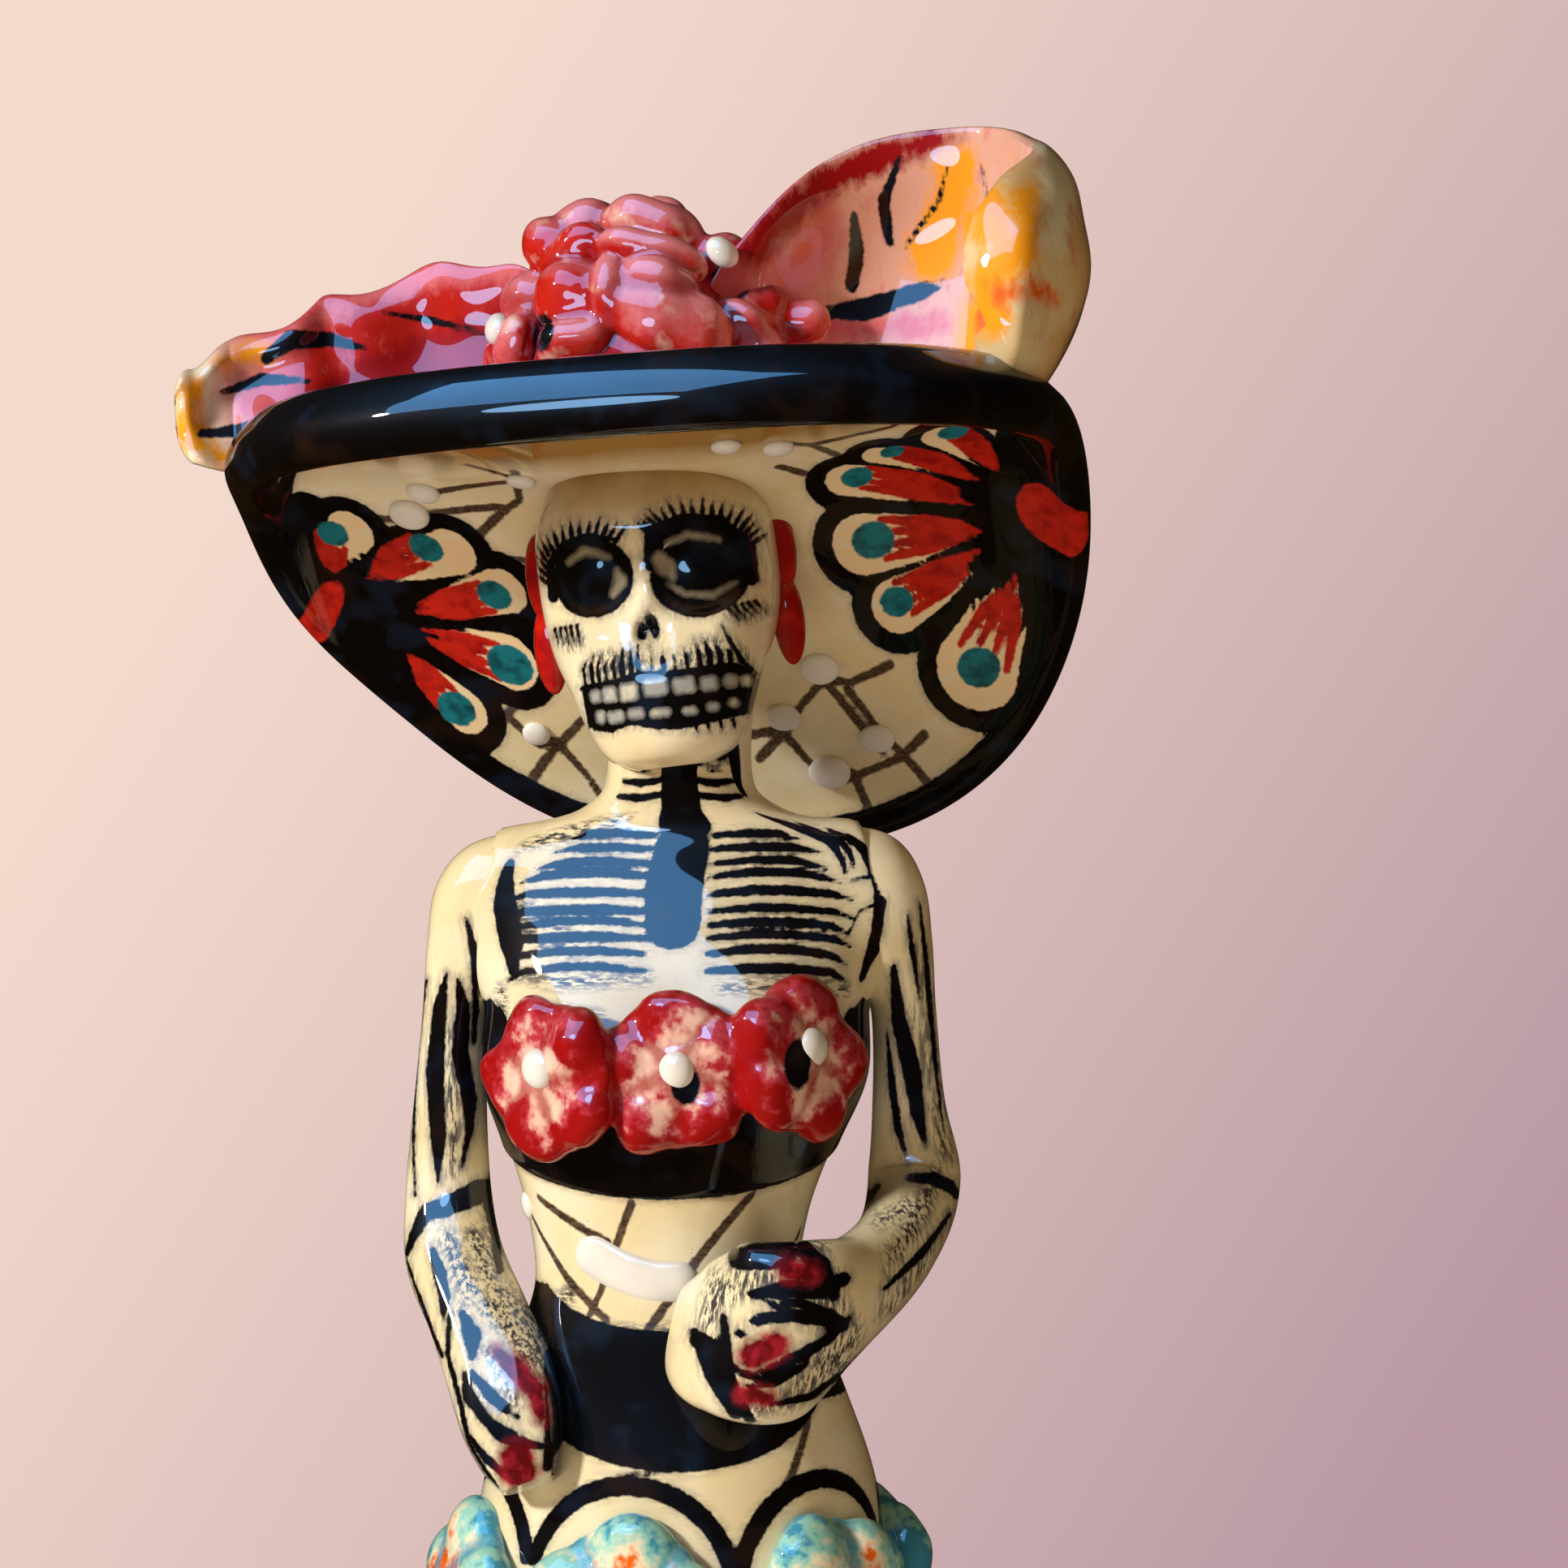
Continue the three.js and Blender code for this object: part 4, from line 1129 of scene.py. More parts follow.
RIGHT_ARM_DRY = [
    [(0.8, 1.2, 0.8), (-28, 206), (-27.8, 197), (-27.6, 189)],
    [(1.2, 1.4, 1), (-25, 181.5), (-23.4, 178.5), (-22.8, 176.5)],
    [(1.2, 1.6), (-28.1, 181.1), (-25.1, 175.2)],
    [(0.6, 0.6), (-24, 181.1), (-22.6, 178.1)],
    [(1.4, 2.2, 1.6), (-22.7, 173.5), (-18.3, 170.7), (-15.9, 167.3)],
    [(0.25, 0.25), (-27.5, 172.3), (-24.2, 174.4), (-20.3, 175.4)],
    [(1.5, 2.1, 1.6), (-21.6, 174.6), (-19, 171.6), (-17.2, 167.6)],
    [(0.8, 1.2, 0.9), (-22.6, 168.4), (-20.6, 165.8), (-19.2, 163)],
]
print("black strokes on her right arm:", len(RIGHT_ARM_BLACK))

# %% Strokes of her left arm
LEFT_ARM_BLACK = [
    [(0.9, 1, 0.7), (24.4, 222), (23.9, 218.6), (23.3, 215.3)],
    [(0.4, 1, 1.2, 0.9, 0.2), (26.2, 214), (26.9, 207.3), (28.5, 201.1), (29.2, 196), (30.2, 191.9)],
    [(0.2, 0.4, 0.2), (27.9, 220.3), (28.5, 216.1), (29.4, 210.2)],
    [(0.5, 0.8, 0.8, 0.5), (28.1, 188.5), (31, 188.3), (33, 187.3), (34, 186)],
    [(0.3, 0.5, 0.3), (24.3, 187.3), (22.5, 185.3), (21.2, 184.3)],
    [(0.15, 0.4, 0.35, 0.15), (29.4, 222), (30.4, 213), (31.2, 204), (32.2, 195)],
    [(0.15, 0.5, 0.5, 0.15), (25.4, 206), (26, 200), (26.8, 194), (28, 190)],
    [(0.3, 0.6, 0.3), (24.7, 176.5), (29.4, 180), (33, 184)],
    [(1.2, 1.9), (7.4, 180.7), (12.4, 181.7)],
    [(0.6, 1.1, 1.1, 0.8), (9.1, 176.8), (13.1, 177.6), (17.1, 177.2), (19.9, 178.4)],
    [(0.5, 0.7, 0.8, 1.2, 1), (7.1, 171.7), (9.9, 174), (13.9, 174.4), (17.9, 174), (19.5, 172.9)],
    [(0.4, 0.6, 0.8, 0.7, 0.3), (6.7, 168.1), (9.5, 167.3), (13.9, 169.3), (17.9, 171.3), (20.7, 174)],
    [(1, 1.5), (2.3, 171.4), (4.9, 169.8)],
    [(0.5, 0.7, 0.6), (5.7, 174), (6.6, 166.7), (8.9, 162)],
    [(0.9, 1.3, 0.8), (15, 182), (17, 180), (18.6, 176.6)],
    [(0.3, 0.6, 0.3), (11, 164), (16, 164.6), (20.6, 167.4)],
    [(0.8, 1.5, 1.1), (2.8, 171.2), (4.8, 167.6), (7.2, 163.2)],
    [(0.3, 0.7, 0.4), (11, 175.6), (14.6, 175.9), (18.4, 174.4)],
    [(0.3, 0.8, 0.5), (8.4, 166.2), (11.8, 166.8), (15.4, 168.6)],
]
LEFT_ARM_RED = [
    [(1.5, 1.4), (13.1, 179.8), (15.9, 179.2)],
    [(1.9, 1.8), (9.1, 169.7), (12, 171)],
    [(1.4, 1.2), (8.3, 165.2), (11, 164.8)],
]
LEFT_ARM_DRY = [
    [(1.6, 2.4, 2), (16, 182), (16.6, 179), (17, 176)],
    [(1.2, 1.6, 1), (14.5, 166.5), (18.5, 166.4), (21.5, 168)],
    [(0.7, 1, 0.8), (30.4, 207), (31.6, 199), (32.4, 191)],
    [(0.4, 0.8, 0.5), (29.4, 216.1), (30.4, 207.3), (32.3, 199.4), (33.5, 190.3)],
    [(0.4, 0.6, 0.5), (28.5, 208.6), (30.2, 202.3), (32.3, 195.2), (32.7, 190.7)],
    [(0.8, 1.1), (24.1, 184), (28.3, 185.6)],
    [(0.8, 1.4, 1), (33.4, 184), (29, 178.6), (25.5, 173.9)],
    [(0.3, 0.3), (24.7, 181.1), (25.1, 177.6), (23.9, 172.9)],
    [(1, 2, 1.4), (4.2, 175), (7.5, 178), (9.5, 179)],
    [(1.2, 1.4, 1), (14.2, 182.4), (16.7, 181.5), (17.5, 179.6)],
    [(0.5, 0.5), (15.9, 166.9), (21.5, 170.1)],
    [(0.5, 0.5), (14.3, 165.3), (19.9, 168.1)],
    [(1.6, 2.6, 2.2), (18.4, 176.4), (19.6, 171.6), (17.6, 166.8)],
    [(1.2, 1.8, 1.4), (10.4, 178.9), (13.6, 176.8), (16.8, 176)],
    [(0.9, 1.4, 1), (9.6, 163.4), (13, 164.4), (17, 166)],
    [(1, 1.6, 1.2), (5, 178.6), (4.6, 175.6), (3.6, 173)],
    [(0.8, 1.6, 1.2), (31.4, 189), (28.8, 184), (26, 180)],
]
ARM_STROKES = [
    (right_arm_mesh, {"black": RIGHT_ARM_BLACK, "smudge": RIGHT_ARM_RED, "dry": RIGHT_ARM_DRY}),
    (left_arm_mesh, {"black": LEFT_ARM_BLACK, "smudge": LEFT_ARM_RED, "dry": LEFT_ARM_DRY}),
]
for mesh, layers in ARM_STROKES:
    for colour, rows in layers.items():
        lay(mesh, colour, strokes(places_of(mesh)[:, [0, 2]], rows))
print("black strokes on her left arm:", len(LEFT_ARM_BLACK))

# %% [markdown]
# ## Painting the face
# It is drawn in the head's own frame, across and up from the skull's top. The sockets are black with
# lashes, the mouth is a black band with two rows of teeth left in cream, and short strokes stand over it.

# %% Strokes of the face
LASH = {"long": 1.9, "root": 0.7, "half": 0.3, "aside": 0.08, "centre": 7}
# Rows are the arcs that the lashes stand on, and how many there are.
LASH_ARCS = [
    [[(-13.4, -12.8), (-12.9, -10.2), (-11, -8.8), (-8, -8.2), (-5, -8.4), (-2.6, -9.4)], 15],
    [[(0.8, -9), (2.6, -7.8), (6, -7.5), (9.4, -7.9), (12, -9.4), (13, -11.6)], 17],
]
BROWS = [
    [(0.9, 0.7, 0.5, 0.3), (-12, -15), (-11.9, -11.4), (-9.6, -9.3), (-6.4, -8.7), (-3, -9.6)],
    [(1, 1.4, 1.5, 1.3, 0.9), (1, -13), (1.9, -9.8), (5.4, -8.9), (9.2, -9.4), (12, -12.4), (12.2, -16)],
]
# The pale arcs and the grey patch in the black of the sockets.
PALE_LINES = [
    [(0.25, 0.5, 0.25), (-9.4, -11.4), (-7.1, -10.4), (-4.3, -11.5)],
    [(0.3, 0.8, 0.3), (-3.5, -13.2), (-3.2, -14.6), (-4.3, -16)],
    [(0.2, 0.35, 0.2), (3.3, -10.8), (5.8, -10.1), (9.2, -11)],
    [(0.8, 1.1, 0.4), (2, -12.6), (2.6, -13.6), (3.2, -14.8)],
    [(0.12, 0.2, 0.3, 0.12), (2.6, -15.7), (4.4, -17.1), (7.6, -17.6), (10.4, -16.3)],
]
MOUTH_TOP = [(-9.6, -26.8), (-5.3, -26.7), (-2, -26.4), (2.8, -26.7), (6, -26.6), (9, -26.4), (11, -27)]
MOUTH_MIDDLE = [(-8.4, -29.3), (-2.3, -29.6), (2, -29.8), (5.2, -29.7), (10.6, -29.6)]
MOUTH_LOW = [(-8.6, -31.7), (-6.3, -32.2), (-4.6, -31.7), (-3, -31.7), (-0.4, -32.5), (2.3, -32.8),
             (6.3, -32.4), (10.9, -31.8)]
MOUTH_LINES = [
    [(0.35, 0.45, 0.7, 0.6, 0.6, 0.5, 0.3), *MOUTH_TOP],
    [(0.35, 0.45, 0.5, 0.45, 0.3), *MOUTH_MIDDLE],
    [(0.35, 0.45, 0.45, 0.45, 0.5, 0.5, 0.45, 0.3), *MOUTH_LOW],
    [(0.3, 0.35, 0.2), (10, -27.6), (10.2, -30), (9.8, -31.6)],
    [(0.25, 0.3, 0.2), (11, -27.8), (11.2, -30.6)],
    [(0.15, 0.32, 0.3, 0.15), (8.4, -21.4), (9.4, -24), (10.2, -26), (11.4, -27.6)],
]
# Rows are [across, up, width, height] of the teeth.
TEETH = [
    [-7.8, -28, 1.3, 1.4], [-5.9, -28, 1.8, 1.7], [-3.4, -28.1, 2.1, 2], [-0.1, -27.9, 2.8, 2],
    [3.3, -28.1, 2.4, 1.8], [6.2, -28.2, 1.8, 1.6], [8.6, -28.2, 1.3, 1.4], [10.3, -28.3, 1, 1.2],
    [-7.5, -30.6, 1.2, 1.3], [-5.5, -30.8, 2, 1.3], [-2.9, -30.7, 1.9, 1.1], [0.1, -31, 2.4, 0.9],
    [3.6, -31.2, 1.7, 0.8], [6.3, -31, 1.3, 0.9], [8.6, -30.8, 1, 0.9],
]
TOOTH_ROUND = 0.45  # how round a tooth's corners are
MOUTH_SIDES = (0.7, 10.3)  # the mouth's middle and half its width
# Rows are [across at the foot, top, half width] of the strokes over the mouth.
LIP_STROKES = [
    [-8.9, -23.4, 0.25], [-7.9, -22.8, 0.3], [-7, -23.2, 0.28], [-6, -23.8, 0.2], [-4.9, -23.4, 0.32],
    [-3.9, -22.6, 0.42], [-2.9, -22.4, 0.4], [-1.9, -22.4, 0.34], [-0.3, -22.8, 0.18], [1.2, -23.6, 0.34],
    [2.6, -24.2, 0.2], [4, -23.8, 0.26], [5.4, -22.8, 0.34], [6.6, -22.6, 0.42], [7.8, -23.4, 0.4],
    [8.9, -24.2, 0.3],
]
LIP_LEVELS = (-24.6, -26.8)  # the middle and the foot of those strokes
CHIN_STROKES = (4, 5.4, 6.8, 8.2)  # places across
CHEEK_STROKES = 5  # on each cheek, in even steps
# Where a nearly dry brush greyed the face, over the mouth, on the cheeks and at the mouth's corner.
FACE_DRY = [
    [(1, 1.7, 1.2), (-8.4, -25), (-5.5, -24.4), (-2.2, -24.8)],
    [(0.8, 1.6, 1.2), (3.6, -25.2), (7, -24.2), (9.8, -25.4)],
    [(0.7, 1, 0.6), (-12.4, -20), (-10.6, -21), (-8.8, -21)],
    [(0.5, 0.8, 0.5), (9.4, -20), (11.4, -20.6), (13, -19.8)],
    [(0.6, 0.9, 0.6), (10.2, -26.6), (11, -29), (10.4, -31.4)],
]
# Rows are [centre, half sizes, turn] of the nose's two holes.
NOSE = [[(0.15, -20.4), (0.75, 1.7), 0.2], [(-1.2, -20.9), (0.6, 1.1), -0.15]]
SOCKET_PAINT = 1.06  # how much wider than a socket its black is
FACE_BACK = -4  # the face's paint ends at this Y
FOREHEAD = -4.5  # above this level the brim's shade is painted brown
print("teeth:", len(TEETH), "and strokes over the mouth:", len(LIP_STROKES))


# %% The painted skull
def lash_rows():
    rows = []
    for arc, count in LASH_ARCS:
        middle = np.mean(arc, axis=0) - np.array([0, LASH["centre"]])
        for spot in np.stack(read(numbered(arc), np.linspace(0, 1, count)), axis=1):
            way = unit(spot - middle) + dice.uniform(-LASH["aside"], LASH["aside"], 2)
            root, tip = spot - way * LASH["root"], spot + way * LASH["long"] * dice.uniform(0.7, 1.05)
            rows.append([(LASH["half"] * 1.2, LASH["half"], 0.06), root, (root + tip) / 2, tip])
    return rows


def face_rows():
    rows = list(MOUTH_LINES)
    middle, foot = LIP_LEVELS
    for across, top, half in LIP_STROKES:
        bent = across + dice.uniform(-0.2, 0.2)
        rows.append([(0.08, half, half * 1.1, half), (across * 0.93, top), (bent, middle), (across, foot)])
    for across in CHIN_STROKES:
        rows.append([(0.3, 0.12), (across, -32.8), (across + 0.1, -33.8)])
    for index in range(CHEEK_STROKES):
        right, left = -12.4 + 0.8 * index, 9.4 + 0.72 * index
        rows.append([(0.3, 0.32, 0.1), (right, -19.2), (right + 0.3, -20.9 - 0.25 * index)])
        rows.append([(0.3, 0.3, 0.1), (left, -19.4 + 0.15 * index), (left + 1, -21 + 0.2 * index)])
    return rows


def tooth(spots, across, up, wide, tall):
    """How far places lie outside a rectangle with round corners."""
    away = np.abs(spots - np.array([across, up])) - np.array([wide, tall]) / 2 + TOOTH_ROUND
    return np.hypot(*np.maximum(away, 0).T) + np.minimum(away.max(1), 0) - TOOTH_ROUND


def paint_skull(mesh):
    local = moved(np.linalg.inv(HEAD), places_of(mesh))
    behind = local[:, 1] - FACE_BACK
    spots = local[:, [0, 2]]
    top, low = (np.interp(spots[:, 0], *np.array(edge).T) for edge in (MOUTH_TOP, MOUTH_LOW))
    middle, half = MOUTH_SIDES
    mouth = [spots[:, 1] - top, low - spots[:, 1], np.abs(spots[:, 0] - middle) - half]
    black = [oval(spots, row[:2], np.array(row[2:]) * SOCKET_PAINT) for row in EYES]
    black += [oval(spots, *row) for row in NOSE]
    black += [strokes(spots, rows) for rows in (BROWS, lash_rows(), face_rows())]
    black.append(np.maximum.reduce(mouth))
    lay(mesh, "black", np.maximum(np.minimum.reduce(black), behind))
    lay(mesh, "cream", np.maximum(np.minimum.reduce([tooth(spots, *row) for row in TEETH]), behind))
    lay(mesh, "pale", np.maximum(strokes(spots, PALE_LINES), behind))
    # The top of the forehead is painted brown as the brim's shade.
    lay(mesh, "brim_shade", FOREHEAD - spots[:, 1])
    lay(mesh, "dry", np.maximum(strokes(spots, FACE_DRY), behind))


paint_skull(skull_mesh)
print("the face has", len(lash_rows()), "lashes")

# %% [markdown]
# ## Painting the hat
# Under the brim two fans like a butterfly's wings open from her temples. Each petal is left in cream inside
# a thick black line, with a blue spot at its tip and red strokes that run back to a dark root. The rest is
# cream with a net of brown lines. All of it is drawn from above, across and back from the skull's top.

# %% Fans and net
# Each fan's rows are [root, tip, half width at the tip, spot, half width of the spot].
RIGHT_FAN = [
    [(-46.5, 9.5), (-42.6, 4.6), 2.9, (-45, 4.9), 2],
    [(-43.6, 10.8), (-29.9, 6.2), 3, (-33.2, 6), 2.2],
    [(-38.5, 14.6), (-24.9, 11), 2.9, (-26.3, 11.6), 2.2],
    [(-38, 17), (-27.3, 20), 3.6, (-27.3, 20.4), 3],
    [(-41, 19.5), (-35.6, 26.4), 2.9, (-36.6, 26.2), 2.5],
]
LEFT_FAN = [
    [(41, 4), (35.5, -4.6), 2.2, (37.2, -4.8), 1.9],
    [(39.5, 5), (27.4, -4), 1.7, (29.4, -3.8), 1.5],
    [(38.5, 7), (23, -0.7), 2.7, (24.2, -0.7), 2],
    [(38, 10), (22.6, 8.4), 3.8, (23.9, 8.2), 2.7],
    [(38, 12.6), (24.9, 16.4), 3.3, (24.9, 15.9), 2.1],
    [(41, 15), (33, 25.2), 5.2, (33.1, 25.3), 2.8],
]
# The red ovals at the fans' roots, and the dark strokes round them.
OVALS = [((-50.6, 14.2), (5, 2), -0.65), ((46.6, 9.1), (4.6, 3.9), 0.5)]
ROOTS = [[(5, 6.5, 6), (-49, 2), (-46, 12), (-44, 19)], [(4, 6, 5), (46, -2), (44, 10), (47, 22)]]
NET = [
    [(-45.7, 1.8), (-37, 2.4), (-33.8, 2.1), (-30.3, 0.8), (-21.1, -1.4)],
    [(-15.7, -12.3), (-18, -3), (-26.3, 4.4)],
    [(-25.3, 6.7), (-20.9, 6.7), (-14, 8)],
    [(-22.3, 20.1), (-26, 24), (-33.2, 28.7)],
    [(-29.8, 27.1), (-27, 30.6), (-24.9, 29.9)],
    [(-30, 35.3), (-25, 31), (-19.9, 27.2), (-14, 24)],
    [(-23.9, 30.8), (-21.7, 34.5), (-20, 39)],
    [(-21, -14), (-15.8, -9), (-30.4, -2.6)],
    [(18.2, 33.4), (13.2, 23.7), (8.6, 27.3), (6.8, 29.4), (2, 33)],
    [(16, 25.5), (18.4, 30.6), (23.3, 38.2)],
    [(22, 23.1), (16.6, 24.5), (13.2, 23.7)],
    [(24.2, 32.1), (20.4, 34.6), (10.9, 37), (13.5, 35.7), (14.6, 40.4)],
    [(6.5, 30.6), (9, 35), (10.9, 37)],
    [(17.8, -14.2), (21, -11.2), (23.5, -5.2)],
    [(21, -11.2), (31, -10.8), (41, -20)],
    [(16, -6.9), (18.6, -3.5)],
    [(0, 22), (0, 30), (-6, 38), (-20, 39)],
    [(0, 30), (6.8, 29.4)],
    [(-6, 38), (-4, 44)],
    [(14.6, 40.4), (10, 44)],
]
print("lines of the net:", len(NET))

# %% The painted hat
FAN_LINE = 2.5  # how wide the black line round a petal is
RED_SPREADS = (-0.62, -0.2, 0.2, 0.62)  # places across a petal of its red strokes
DARK_SPREADS = (-0.85, -0.42, 0, 0.42, 0.85)  # and of the dark ones at its root
NET_HALVES = (0.65, 0.5, 0.65)
# Places along the hat's skin where the black lip begins and ends and the crown's rose begins, and how
# many millimetres one step of the skin is there.
LIP_PAINT = {"from": 0.93, "wider": 0.13, "front": (-0.2, 0.5), "to": 2.12, "mm": 40}
CROWN_PAINT = {"from": 2.9, "mm": 12, "waves": 7, "wavy": 3}
UNDER_PAINT = {"to": 1.5, "mm": 8}
BRIM_SHADE_EDGE = (16, 0.12)  # where the painted brim shade begins in front of her, and how much it bends


def fan_layers(spots, rows):
    """The petals, the red strokes and the blue spots of a fan."""
    petals, red, blue, dark = [], [], [], []
    for root, tip, half, spot, spot_half in rows:
        petals.append(stroke(spots, (0.3, half * 0.75, half), (root, between(root, tip, 0.6), tip)))
        blue.append(oval(spots, spot, (spot_half, spot_half * 0.85)))
        way = unit(np.array(tip) - np.array(root))
        side = np.array([-way[1], way[0]])
        for spread in RED_SPREADS:
            near = np.array(spot) - way * spot_half * (1.1 - abs(spread)) + side * spread * half
            far = np.array(root) - way * 1.5 + side * spread * 0.6
            end = between(near, far, 1 - dice.uniform(0.15, 0.4))
            red.append(stroke(spots, (0.45, 0.8, 0.15), (near, between(near, far, 0.4), end)))
        for spread in DARK_SPREADS:
            foot = np.array(root) - way * 2 + side * spread * half * 0.3
            end = np.array(between(root, tip, dice.uniform(0.38, 0.66))) + side * spread * half * 0.75
            dark.append(stroke(spots, (0.8, 0.5, 0.08), (foot, between(foot, end, 0.5), end)))
    petals, red, blue, dark = (np.minimum.reduce(distances) for distances in (petals, red, blue, dark))
    return np.maximum(petals, -dark), red, blue


def paint_hat(mesh):
    local = moved(np.linalg.inv(HAT), places_of(mesh))
    part, = at_stations(HAT_STATIONS, layer_of(mesh, ALONG))
    angle = layer_of(mesh, AROUND) * 2 * math.pi
    spots = local[:, :2]
    fans = [fan_layers(spots, rows) for rows in (RIGHT_FAN, LEFT_FAN)]
    petals, red, blue = (np.minimum(right, left) for right, left in zip(*fans))
    red = np.minimum.reduce([red, *(oval(spots, *row) for row in OVALS)])
    above = (part - UNDER_PAINT["to"]) * UNDER_PAINT["mm"]  # over 0 on top of the brim
    lip_start = LIP_PAINT["from"] - LIP_PAINT["wider"] * frontness(angle, *LIP_PAINT["front"])
    lip = np.maximum(lip_start - part, part - LIP_PAINT["to"]) * LIP_PAINT["mm"]
    fan_black = np.maximum(np.minimum(petals - FAN_LINE, strokes(spots, ROOTS)), above)
    lay(mesh, "black", np.minimum(fan_black, lip))
    crown = (CROWN_PAINT["from"] - part) * CROWN_PAINT["mm"]
    lay(mesh, "rose", crown + CROWN_PAINT["wavy"] * np.sin(angle * CROWN_PAINT["waves"]))
    lay(mesh, "brown", strokes(spots, [[NET_HALVES, *path] for path in NET]))
    # The front of the underside is painted brown as the shade of the lip.
    brim_shade = spots[:, 1] + BRIM_SHADE_EDGE[0] - BRIM_SHADE_EDGE[1] * np.abs(spots[:, 0])
    for colour, distance in (("cream", petals), ("red", red), ("blue", blue), ("brim_shade", brim_shade)):
        lay(mesh, colour, np.maximum(distance, above))


paint_hat(hat_mesh)
print("the fans have", len(RIGHT_FAN) + len(LEFT_FAN), "petals")

# %% [markdown]
# ## Slip and glaze
# The clay is pale, so the cream ground is the body itself seen through a clear, slightly yellow glaze. The
# colours are slips and oxides under that glaze: they pool, thin out at a stroke's end and catch the clay's
# grain. One small class writes shader maths as plain expressions, and one recipe serves every piece.

# %% A small shader language
class Wire:
    """A shader value. Its operators add Math nodes."""

    def __init__(self, recipe, socket):
        self.recipe, self.socket = recipe, socket

    def __add__(self, other):
        return self.recipe.math("ADD", self, other)

    def __sub__(self, other):
        return self.recipe.math("SUBTRACT", self, other)

    def __rsub__(self, other):
        return self.recipe.math("SUBTRACT", other, self)

    def __mul__(self, other):
        return self.recipe.math("MULTIPLY", self, other)

    def __truediv__(self, other):
        return self.recipe.math("DIVIDE", self, other)

    def __rtruediv__(self, other):
        return self.recipe.math("DIVIDE", other, self)

    __radd__, __rmul__ = __add__, __mul__


MIX_COLOUR = {"factor": 0, "first": 6, "second": 7, "out": 2}  # where a colour Mix node keeps its sockets


class Recipe:
    """A material, built node by node."""

    def __init__(self, name):
        self.material = bpy.data.materials.new(name)
        self.material.use_nodes = True
        self.tree = self.material.node_tree
        self.shader = self.tree.nodes["Principled BSDF"]
        self.place = self.node("ShaderNodeTexCoord", out="Object")

    def node(self, kind, settings=None, values=None, out=0):
        made = self.tree.nodes.new(kind)
        for name, value in (settings or {}).items():
            setattr(made, name, value)
        for name, value in (values or {}).items():
            self.feed(made.inputs[name], value)
        return Wire(self, made.outputs[out])

    def feed(self, socket, value):
        if isinstance(value, Wire):
            self.tree.links.new(value.socket, socket)
        else:
            socket.default_value = value

    def math(self, operation, first, second=0.0, clamp=False):
        settings = {"operation": operation, "use_clamp": clamp}
        return self.node("ShaderNodeMath", settings, {0: first, 1: second})

    def clamped(self, value):
        return self.math("ADD", value, 0.0, clamp=True)

    def mix(self, factor, first, second, blend="MIX"):
        settings = {"data_type": "RGBA", "blend_type": blend}
        values = {MIX_COLOUR["factor"]: factor, MIX_COLOUR["first"]: first, MIX_COLOUR["second"]: second}
        return self.node("ShaderNodeMix", settings, values, out=MIX_COLOUR["out"])

    def noise(self, size, stretch=(1, 1, 1), detail=3.0, roughness=0.55):
        """Noise from 0 to 1 whose blotches are about size millimetres wide, times the stretch."""
        scale = [1 / (size * MM * long) for long in stretch]
        spot = self.node("ShaderNodeVectorMath", {"operation": "MULTIPLY"}, {0: self.place, 1: scale})
        values = {"Vector": spot, "Scale": 1.0, "Detail": detail, "Roughness": roughness}
        return self.node("ShaderNodeTexNoise", None, values, out="Fac")

    def blotched(self, size, level, contrast, ground, colour, share=1.0, **noise):
        """Blotches of a colour on a ground, where the noise is over a level."""
        blotches = self.clamped((self.noise(size, **noise) - level) * contrast)
        return self.mix(blotches * share, ground, colour)

    def layer(self, name):
        return self.node("ShaderNodeAttribute", {"attribute_name": name}, out="Fac")

    def painted(self, base, name, colour, edge=0.18, wobble=None):
        """Colour where the layer's distance is under 0, with an edge as soft as given in millimetres."""
        distance = self.layer(name)
        if wobble is not None:
            distance = distance + wobble
        return self.mix(self.clamped(0.5 - distance / edge), base, colour)


print("a recipe starts with", len(Recipe("trial").tree.nodes), "nodes")
bpy.data.materials.remove(bpy.data.materials["trial"])

# %% Colours of the slips
CREAM, CREAM_PALE, CREAM_GREY = (0.79, 0.7, 0.45, 1), (0.85, 0.8, 0.62, 1), (0.56, 0.52, 0.36, 1)
PETAL_CREAM, CREAM_DIM = (0.9, 0.72, 0.46, 1), (0.3, 0.27, 0.2, 1)
BLACK, BLUE_BLACK = (0.003, 0.002, 0.002, 1), (0.005, 0.009, 0.022, 1)
BROWN_BLACK = (0.014, 0.006, 0.003, 1)
WASH = (0.16, 0.17, 0.19, 1)  # black thinned with water
TOOTH_GREY = (0.36, 0.38, 0.38, 1)  # cream that the black ran into
BRIM_SHADE_BROWN = (0.36, 0.2, 0.045, 1)  # painted shade of the brim on the forehead and the underside
BROWN, BROWN_THIN = (0.045, 0.026, 0.016, 1), (0.19, 0.13, 0.08, 1)
RED, RED_DEEP, RED_DARK = (0.55, 0.016, 0.006, 1), (0.33, 0.004, 0.004, 1), (0.12, 0.002, 0.004, 1)
CRIMSON = (0.36, 0.012, 0.03, 1)
PINK, PINK_DEEP, PINK_PALE = (0.72, 0.16, 0.19, 1), (0.5, 0.05, 0.08, 1), (0.86, 0.6, 0.52, 1)
PINK_MID, PEACH, TAN = (0.72, 0.22, 0.26, 1), (0.76, 0.42, 0.33, 1), (0.72, 0.49, 0.22, 1)
BLUSH, BLUSH_PALE = (0.8, 0.5, 0.44, 1), (0.84, 0.6, 0.5, 1)
TEAL, TEAL_DARK = (0.008, 0.2, 0.27, 1), (0.003, 0.07, 0.1, 1)
TURQUOISE, SKY, SHELL = (0.3, 0.66, 0.62, 1), (0.05, 0.3, 0.5, 1), (0.86, 0.8, 0.6, 1)
ORANGE, AMBER = (0.8, 0.14, 0.004, 1), (0.95, 0.38, 0.01, 1)
WHITE_SLIP, WHITE_SHADE = (0.88, 0.89, 0.88, 1), (0.74, 0.75, 0.78, 1)
print("the cream of the clay:", CREAM[:3])


